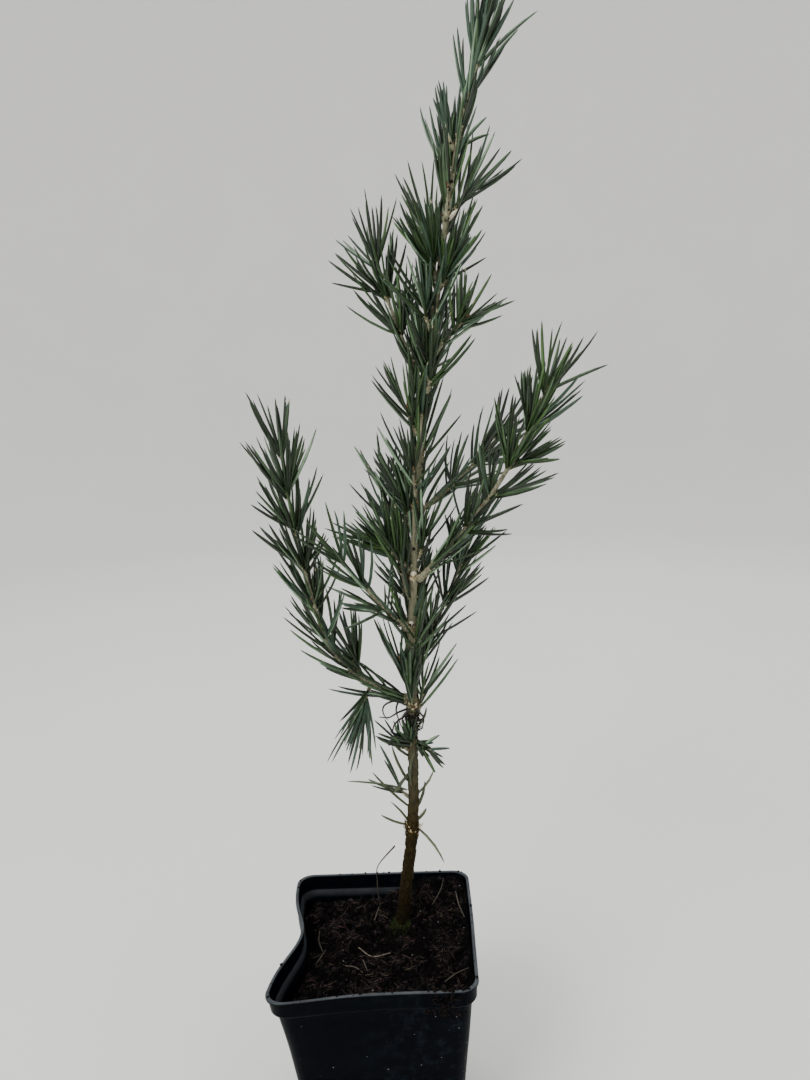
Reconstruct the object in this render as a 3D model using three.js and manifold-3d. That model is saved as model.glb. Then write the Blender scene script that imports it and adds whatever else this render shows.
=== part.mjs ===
// Potted cedar of Lebanon: a young plant in a square nursery pot whose left wall is dented.
// Millimetres, +Z up. The origin is the centre of the pot's flat underside, and -Y is the front.

import * as THREE from 'three';
import Module from 'manifold-3d';

const wasm = await Module();
wasm.setup();

// Clear distance left between neighbouring pieces
const GAP = 0.3;

// Pot
const POT_WIDTH = 90;
const POT_DEPTH = 92;
const POT_HEIGHT = 100;
const POT_CORNER = 8;
const POT_WALL = 0.9;
const POT_BASE = 1.2;
const FOOT_INSET = 13;
const FOOT_ROUNDING = 1.4;
const BAND_HEIGHT = 8;
const BAND_FOOT = POT_HEIGHT - BAND_HEIGHT;
const WALL_HEIGHTS = [0.4, 0.68, 0.86].map((share) => share * BAND_FOOT);
const BAND_STEP = 1.8;
const BAND_INSET = 0.7;
const BAND_TAPER = 0.4;
const LIP_HEIGHT = 1.1;
const LIP_WIDTH = 1.5;
const LEDGE_LOW = BAND_FOOT - BAND_STEP + POT_WALL / 2;
const LEDGE_HIGH = BAND_FOOT + POT_WALL / 2;
const CORNER_STEPS = 3;
const SIDE_STEPS = 7;
const DENT_DEPTH = 7;
const DENT_CENTRE = -3;
const DENT_REACH = 19;
const DENT_POWER = 2.4;
const BULGE_X = -4;
const BULGE_Y = -4.4;
const BULGE_REACH = 26;
const PINCH_X = -2;
const PINCH_REACH = 40;
const HOLE_RADIUS = 3.5;
const HOLE_OFFSET = 21;
const HOLE_SIDES = 12;

// Compost
const SOIL_LEVEL = 91.8;
const SOIL_LIFT_X = 2.2;
const SOIL_LIFT_Y = 1.4;
const SOIL_LUMP = 0.6;
const SUNK_DEPTH = 1.6;
const SUNK_FROM_X = 22;
const SUNK_TO_X = -30;
const TROUGH_DEPTH = 3.5;
const TROUGH_SLOPE_X = -0.9;
const TROUGH_SLOPE_Y = 0.45;
const TROUGH_START = 8;
const TROUGH_FULL = 20;
const SOIL_GAP = 0.6;
const SOIL_WAVES = { x: 0.31, y: 0.27, slantX: 0.13, slantY: 0.19 };
const LANDING_RADIUS = 6.5;
const LANDING_BLEND = 2.5;
const SOIL_RINGS = 7;

// Trunk: places that its middle line passes through, from the flat cut to the tip
const GROUND = 90;
const TRUNK_LINE = new THREE.CatmullRomCurve3([
  new THREE.Vector3(9.6, 17.5, GROUND),
  new THREE.Vector3(13.5, 14, 120),
  new THREE.Vector3(16.8, 11.5, 148),
  new THREE.Vector3(17.9, 9.5, 190),
  new THREE.Vector3(19, 8, 240),
  new THREE.Vector3(22.6, 6.5, 300),
  new THREE.Vector3(26.4, 5, 341),
  new THREE.Vector3(31.6, 4, 374),
  new THREE.Vector3(37.4, 4, 413),
  new THREE.Vector3(44.8, 4, 455),
  new THREE.Vector3(48.2, 4, 467),
]);
const HALVINGS = 24;
const TRUNK_SIDES = 9;
const TRUNK_STATIONS = 40;
const STATION_CROWDING = 1.1;
const FLARE = 1.1;
const FLARE_HEIGHT = 5;
const RADIUS_AT_HEIGHT = [
  [90, 3.2],
  [185, 2.4],
  [250, 1.9],
  [300, 1.5],
  [385, 1.4],
  [443, 1],
  [470, 0.9],
];
const COLLAR = { height: 142, swell: 0.6, reach: 4 };
const WHORLS = [
  { height: 207, swell: 0.7, reach: 3 },
  { height: 244, swell: 0.5, reach: 2.5 },
  { height: 268, swell: 0.5, reach: 2.5 },
  { height: 300, swell: 0.4, reach: 2.5 },
  { height: 352, swell: 0.4, reach: 2.5 },
  { height: 422, swell: 0.4, reach: 2 },
];

// Needles: three-sided and pointed, each one larger than life because there are fewer of them
const NEEDLE_SHORT = 26;
const NEEDLE_LONG = 33;
const NEEDLE_RADIUS = 0.95;
const NEEDLE_WIDEST = 0.42;
const NEEDLE_SIDES = 3;
const NEEDLE_TRIES = 9;
const STEM_SIDES = 3;
const BOUGH_SIDES = 6;
const STEP_LENGTH = 7;
const WALK_STEPS = 16;
const ROOT_MARGIN = 0.6;
const OPENING_FOOT = 54;
const OPENING_TIP = 36;
const OPENING_LEAST = 0.3;
const OPENING_CROWDING = 0.6;
const NEEDLE_CROWDING = 0.8;
const NEEDLE_LIFT = 0.22;
const TURN_WHEN_BLOCKED = 40;
const STEM_TAPER = 0.6;
const BOUGH_TAPER = 0.85;
const GOLDEN_ANGLE = 137.5;
const UP = new THREE.Vector3(0, 0, 1);
const EAST = new THREE.Vector3(1, 0, 0);
const STEEP = 0.9;

// Shoots that leave the trunk: height of the foot, compass angle from +X, rise at foot and tip, turn
// along the way, length, bare stretch that is a bough of its own, radius at the foot, number of
// needles and how widely they spread. One needle of the right shoot reaches out past all the others.
const SHOOTS = [
  {
    name: 'right', height: 265, azimuth: 338, rise: [41, 67], turn: 2, length: 105,
    bare: 30, radius: 1.35, needles: 56, spread: 1.15,
    reaching: { azimuth: 12, rise: [21, 21], turn: 0, length: 30 },
  },
  {
    name: 'right_low', height: 219, azimuth: 50, rise: [53, 70], turn: -47, length: 74,
    bare: 16, radius: 1.15, needles: 38, spread: 1,
  },
  {
    name: 'right_inner', height: 297, azimuth: 31, rise: [27, 44], turn: -4, length: 56,
    bare: 12, radius: 1.0, needles: 28, spread: 1,
  },
  {
    name: 'right_mid', height: 364, azimuth: 326, rise: [44, 38], turn: 0, length: 25,
    bare: 11, radius: 0.9, needles: 14, spread: 1.2,
  },
  {
    name: 'upper_left', height: 351, azimuth: 146, rise: [63, 71], turn: -3, length: 62,
    bare: 16, radius: 1.1, needles: 38, spread: 1.2,
  },
  {
    name: 'mid_left', height: 242, azimuth: 217, rise: [41, 54], turn: -5, length: 52,
    bare: 13, radius: 1.05, needles: 28, spread: 1,
  },
  {
    name: 'back_low', height: 233, azimuth: 95, rise: [62, 75], turn: 0, length: 58,
    bare: 13, radius: 1.05, needles: 28, spread: 1,
  },
  {
    name: 'back_mid', height: 259, azimuth: 117, rise: [52, 70], turn: 0, length: 54,
    bare: 13, radius: 1.0, needles: 26, spread: 1,
  },
  {
    name: 'back_high', height: 333, azimuth: 75, rise: [60, 70], turn: 0, length: 46,
    bare: 11, radius: 0.95, needles: 24, spread: 0.9,
  },
  {
    name: 'left_spur', height: 269, azimuth: 194, rise: [51, 48], turn: 0, length: 19,
    bare: 0, radius: 0.9, needles: 24, spread: 1,
  },
  {
    name: 'left_spur_high', height: 294, azimuth: 130, rise: [52, 56], turn: 0, length: 14,
    bare: 0, radius: 0.85, needles: 18, spread: 1,
  },
  {
    name: 'front_tuft', height: 393, azimuth: 256, rise: [69, 36], turn: -6, length: 14,
    bare: 0, radius: 0.85, needles: 20, spread: 0.9,
  },
  {
    name: 'right_tuft', height: 391, azimuth: 311, rise: [53, 44], turn: 0, length: 12,
    bare: 0, radius: 0.8, needles: 14, spread: 1,
  },
  {
    name: 'top_right', height: 420, azimuth: 29, rise: [51, 50], turn: 0, length: 19,
    bare: 0, radius: 0.8, needles: 18, spread: 0.8,
  },
  {
    name: 'top_left', height: 432, azimuth: 115, rise: [73, 62], turn: 0, length: 14,
    bare: 0, radius: 0.75, needles: 14, spread: 0.5,
  },
];

// The lowest left bough runs out low and bends up: the limb up to the bend is the bough, and the
// stretch past the bend is the middle of its own mass.
const LOW_LEFT = { height: 210, azimuth: 190, rise: [17, 60], turn: 10, length: 51, radius: 1.3 };
const LOW_LEFT_TOP = {
  azimuth: 202, rise: [74, 85], turn: 1, length: 86, radius: 0.95, needles: 54, spread: 1,
};

// Tufts that stand on the lowest left bough: share of its length, and the same angles as a shoot
const ON_LOW_LEFT = [
  {
    name: 'hanging', share: 0.42, azimuth: 232, rise: [-50, -66], turn: 0, length: 13,
    radius: 0.7, needles: 12, spread: 0.75, lift: -0.1, needleScale: 0.95,
  },
  {
    name: 'low_left_middle', share: 0.52, azimuth: 150, rise: [60, 72], turn: 0, length: 14,
    radius: 0.7, needles: 9, spread: 0.8, needleScale: 0.8,
  },
  {
    name: 'low_left_inner', share: 0.82, azimuth: 165, rise: [62, 74], turn: 0, length: 22,
    radius: 0.75, needles: 14, spread: 1,
  },
];

// Short tufts up the trunk, one golden angle apart
const TUFT_FROM = 196;
const TUFT_TO = 447;
const TUFT_COUNT = 18;
const TUFT_LENGTH = 11;
const TUFT_START_ANGLE = 20;
const TUFT_NUDGE_ANGLE = 40;
const TUFT = { rise: [66, 78], turn: 0, radius: 0.75, needles: 11, spread: 0.9 };

// Sparse sprigs of short needles on the bare lower trunk
const SPRIGS = [
  {
    name: 'sprig_left', height: 183, azimuth: 200, rise: [35, 52], turn: 0, length: 7,
    radius: 0.7, needles: 9, spread: 1.1, needleScale: 0.5,
  },
  {
    name: 'sprig_right', height: 186, azimuth: 330, rise: [12, -16], turn: 0, length: 7,
    radius: 0.7, needles: 8, spread: 1.1, lift: -0.3, needleScale: 0.42,
  },
  {
    name: 'sprig_foot', height: 158, azimuth: 165, rise: [35, 45], turn: 0, length: 5,
    radius: 0.65, needles: 4, spread: 1, lift: 0, needleScale: 0.75,
  },
];

// The leader's own end, and the height above which the tufts hug the trunk
const LEADER = { azimuth: 0, rise: [72, 77], turn: 0, length: 32, radius: 0.85, needles: 38, spread: 0.55 };
const LEADER_HEIGHT = 412;
const LEADER_SPREAD = 0.35;
const LEADER_NEEDLE_SCALE = 0.85;

const FINISHES = {
  pot: { color: 0x15171a, roughness: 0.45 },
  compost: { color: 0x2c211b, roughness: 1 },
  trunk: { color: 0x7a5a3c, roughness: 0.9 },
  bough: { color: 0xa8835a, roughness: 0.9 },
  needles: { color: 0x3f6b52, roughness: 0.6 },
};

// A repeatable stream of numbers from 0 to 1
function randomStream(seed) {
  let state = seed >>> 0;
  return () => {
    state = (state + 0x6d2b79f5) >>> 0;
    let mixed = Math.imul(state ^ (state >>> 15), 1 | state);
    mixed = (mixed + Math.imul(mixed ^ (mixed >>> 7), 61 | mixed)) ^ mixed;
    return ((mixed ^ (mixed >>> 14)) >>> 0) / 4294967296;
  };
}

function bell(distance, reach) {
  return Math.exp(-((distance / reach) ** 2));
}

// A closed skin over a row of rings, each end drawn to one point
function loft(rings, firstPoint, lastPoint) {
  const count = rings[0].length;
  const positions = [];
  const faces = [];
  rings.flat().forEach((point) => positions.push(point.x, point.y, point.z));
  const firstIndex = positions.length / 3;
  positions.push(firstPoint.x, firstPoint.y, firstPoint.z);
  positions.push(lastPoint.x, lastPoint.y, lastPoint.z);
  const lastRing = (rings.length - 1) * count;
  for (let side = 0; side < count; side += 1) {
    const next = (side + 1) % count;
    faces.push(firstIndex, next, side);
    for (let ring = 0; ring < lastRing; ring += count) {
      faces.push(ring + side, ring + next, ring + count + next);
      faces.push(ring + side, ring + count + next, ring + count + side);
    }
    faces.push(firstIndex + 1, lastRing + side, lastRing + next);
  }
  const geometry = new THREE.BufferGeometry();
  geometry.setAttribute('position', new THREE.Float32BufferAttribute(positions, 3));
  geometry.setIndex(faces);
  return geometry;
}

function toSolid(geometry) {
  return new wasm.Manifold(new wasm.Mesh({
    numProp: 3,
    vertProperties: new Float32Array(geometry.getAttribute('position').array),
    triVerts: new Uint32Array(geometry.getIndex().array),
  }));
}

function toGeometry(solid) {
  const mesh = solid.getMesh();
  const geometry = new THREE.BufferGeometry();
  geometry.setAttribute('position', new THREE.Float32BufferAttribute(mesh.vertProperties, 3));
  geometry.setIndex(new THREE.Uint32BufferAttribute(mesh.triVerts, 1));
  return geometry;
}

function largestBody(solid) {
  const bodies = solid.decompose();
  bodies.sort((one, other) => other.volume() - one.volume());
  return bodies[0];
}

function namedMesh(name, geometry, finish) {
  geometry.computeVertexNormals();
  const material = new THREE.MeshStandardMaterial({ ...finish, metalness: 0 });
  const mesh = new THREE.Mesh(geometry, material);
  mesh.name = name;
  return mesh;
}

// One level ring of the pot, this far in from the lip
function potRing(inset, height) {
  const halfX = POT_WIDTH / 2 - inset;
  const halfY = POT_DEPTH / 2 - inset;
  const corner = POT_CORNER - inset / 4;
  const ring = [];
  const centres = [[1, -1], [1, 1], [-1, 1], [-1, -1]];
  centres.forEach(([signX, signY], quarter) => {
    const centre = new THREE.Vector2(signX * (halfX - corner), signY * (halfY - corner));
    for (let step = 0; step <= CORNER_STEPS; step += 1) {
      const angle = (quarter - 1 + step / CORNER_STEPS) * Math.PI / 2;
      ring.push(new THREE.Vector2(Math.cos(angle), Math.sin(angle)).multiplyScalar(corner).add(centre));
    }
    const [nextX, nextY] = centres[(quarter + 1) % 4];
    const from = ring[ring.length - 1];
    const outward = quarter * Math.PI / 2;
    const to = new THREE.Vector2(nextX * (halfX - corner), nextY * (halfY - corner));
    to.add(new THREE.Vector2(Math.cos(outward), Math.sin(outward)).multiplyScalar(corner));
    for (let step = 1; step < SIDE_STEPS; step += 1) {
      ring.push(from.clone().lerp(to, step / SIDE_STEPS));
    }
  });
  return ring.map((place) => pressed(place, halfX, halfY, height));
}

// The dent in the left wall, the front left corner pushed out and the front right one pinched in, all
// of which grow towards the rim
function pressed(place, halfX, halfY, height) {
  const growth = (height / POT_HEIGHT) ** DENT_POWER;
  const nearLeft = THREE.MathUtils.clamp(-2 * place.x / halfX - 1, 0, 1);
  const dent = DENT_DEPTH * nearLeft * bell(place.y - DENT_CENTRE, DENT_REACH);
  const bulge = bell(Math.hypot(place.x + halfX, place.y + halfY), BULGE_REACH);
  const pinch = bell(Math.hypot(place.x - halfX, place.y + halfY), PINCH_REACH);
  return new THREE.Vector3(
    place.x + growth * (dent + BULGE_X * bulge + PINCH_X * pinch),
    place.y + growth * BULGE_Y * bulge,
    height,
  );
}

// How far in from the lip the outer face of the plain wall lies, below the rim band
function wallInset(height) {
  return THREE.MathUtils.lerp(FOOT_INSET, BAND_INSET + BAND_TAPER + BAND_STEP, height / BAND_FOOT);
}

// The same for the inner face, which steps out over a ledge at the foot of the rim band
function innerInset(height) {
  const pastLedge = THREE.MathUtils.clamp((height - LEDGE_LOW) / (LEDGE_HIGH - LEDGE_LOW), 0, 1);
  const wall = wallInset(Math.min(height, BAND_FOOT - BAND_STEP));
  return THREE.MathUtils.lerp(wall, BAND_INSET + BAND_TAPER, pastLedge) + POT_WALL;
}

function makePot() {
  const lipFoot = POT_HEIGHT - LIP_HEIGHT;
  const outside = [
    potRing(FOOT_INSET + FOOT_ROUNDING, 0),
    potRing(wallInset(FOOT_ROUNDING), FOOT_ROUNDING),
    ...WALL_HEIGHTS.map((height) => potRing(wallInset(height), height)),
    potRing(wallInset(BAND_FOOT - BAND_STEP), BAND_FOOT - BAND_STEP),
    potRing(BAND_INSET + BAND_TAPER, BAND_FOOT),
    potRing(BAND_INSET, lipFoot),
    potRing(0, lipFoot),
    potRing(0, POT_HEIGHT - GAP),
    potRing(GAP, POT_HEIGHT),
    potRing(LIP_WIDTH, POT_HEIGHT),
  ];
  const insideHeights = [LEDGE_HIGH, LEDGE_LOW, ...WALL_HEIGHTS.toReversed(), POT_BASE];
  const inside = insideHeights.map((height) => potRing(innerInset(height), height));
  const floor = new THREE.Vector3(0, 0, POT_BASE);
  const shell = toSolid(loft([...outside, ...inside], new THREE.Vector3(), floor));
  const holes = [[1, 1], [-1, 1], [-1, -1], [1, -1]].map(([signX, signY]) => {
    const low = new THREE.Vector3(signX * HOLE_OFFSET, signY * HOLE_OFFSET, -POT_BASE);
    const high = low.clone().setZ(2 * POT_BASE);
    const rings = [low, high].map((end) => ringAround(end, UP, EAST, HOLE_RADIUS, HOLE_SIDES));
    return toSolid(loft(rings, low, high));
  });
  return toGeometry(wasm.Manifold.difference([shell, ...holes]));
}

// The compost is flat round the trunk, sinks towards the left and rises towards the back right
function soilHeight(x, y, foot) {
  const slope = SOIL_LIFT_X * x / (POT_WIDTH / 2) + SOIL_LIFT_Y * y / (POT_DEPTH / 2);
  const square = Math.sin(x * SOIL_WAVES.x + 1) * Math.cos(y * SOIL_WAVES.y);
  const slant = Math.sin(x * SOIL_WAVES.slantX - y * SOIL_WAVES.slantY);
  const away = Math.hypot(x - foot.x, y - foot.y);
  const blend = THREE.MathUtils.smoothstep(away, LANDING_RADIUS, LANDING_RADIUS * LANDING_BLEND);
  const sunk = SUNK_DEPTH * THREE.MathUtils.smoothstep(-x, -SUNK_FROM_X, -SUNK_TO_X);
  return THREE.MathUtils.lerp(GROUND, SOIL_LEVEL + slope + SOIL_LUMP * (square + slant) - sunk, blend);
}

// Along the left and the back left it falls away at the wall, so that the ledge shows there
function troughDepth(x, y) {
  const towards = TROUGH_SLOPE_X * x + TROUGH_SLOPE_Y * y;
  return TROUGH_DEPTH * THREE.MathUtils.smoothstep(towards, TROUGH_START, TROUGH_FULL);
}

function makeCompost() {
  const foot = TRUNK_LINE.getPoint(0);
  const ringAt = (height) => potRing(innerInset(height) + SOIL_GAP, height);
  const unevenRing = (heights) => heights.map((height, index) => ringAt(height)[index]);
  const tops = ringAt(LEDGE_HIGH).map(({ x, y }) => soilHeight(x, y, foot) - troughDepth(x, y));
  const rings = [POT_BASE + GAP, ...WALL_HEIGHTS].map(ringAt);
  rings.push(unevenRing(tops.map((top) => Math.min(LEDGE_LOW, top - 2 * GAP))));
  rings.push(unevenRing(tops.map((top) => Math.min(LEDGE_HIGH, top - GAP))));
  const edge = unevenRing(tops);
  rings.push(edge);
  for (let step = 1; step < SOIL_RINGS; step += 1) {
    const inward = step / (SOIL_RINGS - 1);
    const ring = edge.map((point) => {
      const away = new THREE.Vector2(point.x - foot.x, point.y - foot.y);
      away.setLength(THREE.MathUtils.lerp(away.length(), LANDING_RADIUS, inward));
      const x = foot.x + away.x;
      const y = foot.y + away.y;
      return new THREE.Vector3(x, y, soilHeight(x, y, foot));
    });
    rings.push(ring);
  }
  return loft(rings, new THREE.Vector3(0, 0, POT_BASE + GAP), foot);
}

function trunkRadius(height) {
  let radius = RADIUS_AT_HEIGHT.at(-1)[1];
  for (let step = 1; step < RADIUS_AT_HEIGHT.length; step += 1) {
    const [low, lowRadius] = RADIUS_AT_HEIGHT[step - 1];
    const [high, highRadius] = RADIUS_AT_HEIGHT[step];
    if (height >= low && height < high) {
      radius = THREE.MathUtils.mapLinear(height, low, high, lowRadius, highRadius);
    }
  }
  radius += FLARE * bell(height - GROUND, FLARE_HEIGHT);
  [COLLAR, ...WHORLS].forEach((node) => {
    radius += node.swell * bell(height - node.height, node.reach);
  });
  return radius;
}

function trunkAt(height) {
  let low = 0;
  let high = 1;
  for (let step = 0; step < HALVINGS; step += 1) {
    const middle = (low + high) / 2;
    if (TRUNK_LINE.getPoint(middle).z < height) low = middle;
    else high = middle;
  }
  return TRUNK_LINE.getPoint(low);
}

// A direction square to the one given
function squareTo(along, near = Math.abs(along.z) > STEEP ? EAST : UP) {
  return near.clone().addScaledVector(along, -near.dot(along)).normalize();
}

function ringAround(centre, along, across, radius, sides, roll = 0) {
  const other = along.clone().cross(across);
  return Array.from({ length: sides }, (_, side) => {
    const angle = roll + side / sides * Math.PI * 2;
    return centre.clone()
      .addScaledVector(across, radius * Math.cos(angle))
      .addScaledVector(other, radius * Math.sin(angle));
  });
}

// Rings square to a line of points, each turned as little as it can be from the one before
function ringsAlong(points, radii, sides) {
  let across = squareTo(points[1].clone().sub(points[0]).normalize());
  return points.map((point, index) => {
    const ahead = points[Math.min(index + 1, points.length - 1)];
    const behind = points[Math.max(index - 1, 0)];
    const along = ahead.clone().sub(behind).normalize();
    across = squareTo(along, across);
    return ringAround(point, along, across, radii[index], sides);
  });
}

function limbGeometry({ points, radii }, sides) {
  return loft(ringsAlong(points, radii, sides), points[0], points[points.length - 1]);
}

function makeTrunk() {
  const heights = [];
  const top = TRUNK_LINE.getPoint(1).z;
  for (let station = 0; station <= TRUNK_STATIONS; station += 1) {
    heights.push(THREE.MathUtils.lerp(GROUND, top, (station / TRUNK_STATIONS) ** STATION_CROWDING));
  }
  const points = heights.map(trunkAt);
  const radii = heights.map(trunkRadius);
  const rings = ringsAlong(points, radii, TRUNK_SIDES);
  rings[0].forEach((point) => point.setZ(GROUND));
  points[0].setZ(GROUND);
  return { points, radii, geometry: loft(rings, points[0], points[points.length - 1]) };
}

function limbPieces(node, { points, radii }) {
  return points.slice(1).map((point, index) => ({
    node,
    from: points[index],
    to: point,
    fromRadius: radii[index],
    toRadius: radii[index + 1],
    outer: false,
  }));
}

// Clear distance between two straight tapering pieces, negative where they cross
function clearance(one, other) {
  const along = one.to.clone().sub(one.from);
  const otherAlong = other.to.clone().sub(other.from);
  const between = one.from.clone().sub(other.from);
  const a = along.dot(along);
  const e = otherAlong.dot(otherAlong);
  const b = along.dot(otherAlong);
  const c = along.dot(between);
  const f = otherAlong.dot(between);
  const denominator = a * e - b * b;
  let share = denominator > 1e-9 ? THREE.MathUtils.clamp((b * f - c * e) / denominator, 0, 1) : 0;
  let otherShare = (b * share + f) / e;
  if (otherShare < 0 || otherShare > 1) {
    otherShare = THREE.MathUtils.clamp(otherShare, 0, 1);
    share = THREE.MathUtils.clamp((b * otherShare - c) / a, 0, 1);
  }
  const distance = between.addScaledVector(along, share).addScaledVector(otherAlong, -otherShare).length();
  const radius = THREE.MathUtils.lerp(one.fromRadius, one.toRadius, share);
  const otherRadius = THREE.MathUtils.lerp(other.fromRadius, other.toRadius, otherShare);
  return distance - radius - otherRadius;
}

function isClear(pieces, obstacles) {
  return pieces.every((piece) => obstacles.every((other) => {
    if (piece.node !== other.node) return clearance(piece, other) > GAP;
    return !(piece.outer && other.outer) || clearance(piece, other) > 0;
  }));
}

function directionAt(shoot, share) {
  const azimuth = THREE.MathUtils.degToRad(shoot.azimuth + shoot.turn * share);
  const rise = THREE.MathUtils.degToRad(THREE.MathUtils.lerp(shoot.rise[0], shoot.rise[1], share));
  return new THREE.Vector3(
    Math.cos(rise) * Math.cos(azimuth),
    Math.cos(rise) * Math.sin(azimuth),
    Math.sin(rise),
  );
}

// The place this far along a shoot whose direction turns evenly from its foot to its tip
function placeAlong(shoot, distance) {
  const place = shoot.start.clone();
  for (let step = 0; step < WALK_STEPS; step += 1) {
    const share = (step + 0.5) / WALK_STEPS * distance / shoot.length;
    place.addScaledVector(directionAt(shoot, share), distance / WALK_STEPS);
  }
  return place;
}

// The distance along a shoot at which its end face is clear of the limb that it stands on
function footDistance(shoot, limbDirection, limbRadius) {
  const angle = directionAt(shoot, 0).angleTo(limbDirection);
  return (limbRadius + GAP + shoot.radius * Math.abs(Math.cos(angle))) / Math.sin(angle);
}

function stretch(shoot, from, to, fromRadius, toRadius) {
  const steps = Math.max(2, Math.ceil((to - from) / STEP_LENGTH));
  const points = [];
  const radii = [];
  for (let step = 0; step <= steps; step += 1) {
    points.push(placeAlong(shoot, THREE.MathUtils.lerp(from, to, step / steps)));
    radii.push(THREE.MathUtils.lerp(fromRadius, toRadius, step / steps));
  }
  return { points, radii };
}

function needlePieces(node, root, direction, length) {
  const middle = root.clone().addScaledVector(direction, length * NEEDLE_WIDEST);
  const tip = root.clone().addScaledVector(direction, length);
  return [
    { node, from: root, to: middle, fromRadius: 0, toRadius: NEEDLE_RADIUS, outer: false },
    { node, from: middle, to: tip, fromRadius: NEEDLE_RADIUS, toRadius: 0, outer: true },
  ];
}

function needleGeometry([inner, outer], roll) {
  const along = outer.to.clone().sub(inner.from).normalize();
  const ring = ringAround(inner.to, along, squareTo(along), NEEDLE_RADIUS, NEEDLE_SIDES, roll);
  return loft([ring], inner.from, outer.to);
}

// Needles leave the stem one golden angle apart, wide near its foot and closing to a point at its
// tip. One that would touch another piece is turned, and is left out where no turn clears it.
function growNeedles(mass, obstacles) {
  const random = randomStream(mass.seed);
  const grown = [];
  const growNeedle = (root, direction, length, roll) => {
    const pieces = needlePieces(mass.name, root, direction, length);
    if (!isClear(pieces, obstacles)) return false;
    obstacles.push(...pieces);
    grown.push(toSolid(needleGeometry(pieces, roll)));
    return true;
  };

  if (mass.reaching) {
    const end = placeAlong(mass.shoot, mass.to - ROOT_MARGIN);
    growNeedle(end, directionAt(mass.reaching, 0), mass.reaching.length, 0);
  }
  for (let count = 0; count < mass.needles; count += 1) {
    const share = ((count + 0.5) / mass.needles) ** NEEDLE_CROWDING;
    const distance = THREE.MathUtils.lerp(mass.from + ROOT_MARGIN, mass.to - ROOT_MARGIN, share);
    const root = placeAlong(mass.shoot, distance);
    const along = directionAt(mass.shoot, distance / mass.shoot.length);
    const across = squareTo(along);
    const other = along.clone().cross(across);
    const wide = THREE.MathUtils.lerp(OPENING_FOOT, OPENING_TIP, share) * mass.spread;
    const openShare = THREE.MathUtils.lerp(OPENING_LEAST, 1, random() ** OPENING_CROWDING);
    const opening = THREE.MathUtils.degToRad(wide * openShare);
    const length = THREE.MathUtils.lerp(NEEDLE_SHORT, NEEDLE_LONG, random()) * mass.needleScale;
    const roll = random() * Math.PI;
    const jitter = random() - 0.5;
    for (let attempt = 0; attempt < NEEDLE_TRIES; attempt += 1) {
      const around = THREE.MathUtils.degToRad(count * GOLDEN_ANGLE + attempt * TURN_WHEN_BLOCKED) + jitter;
      const direction = along.clone().multiplyScalar(Math.cos(opening))
        .addScaledVector(across, Math.sin(opening) * Math.cos(around))
        .addScaledVector(other, Math.sin(opening) * Math.sin(around))
        .addScaledVector(UP, mass.lift)
        .normalize();
      if (growNeedle(root, direction, length, roll)) break;
    }
  }
  return grown;
}

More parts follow.
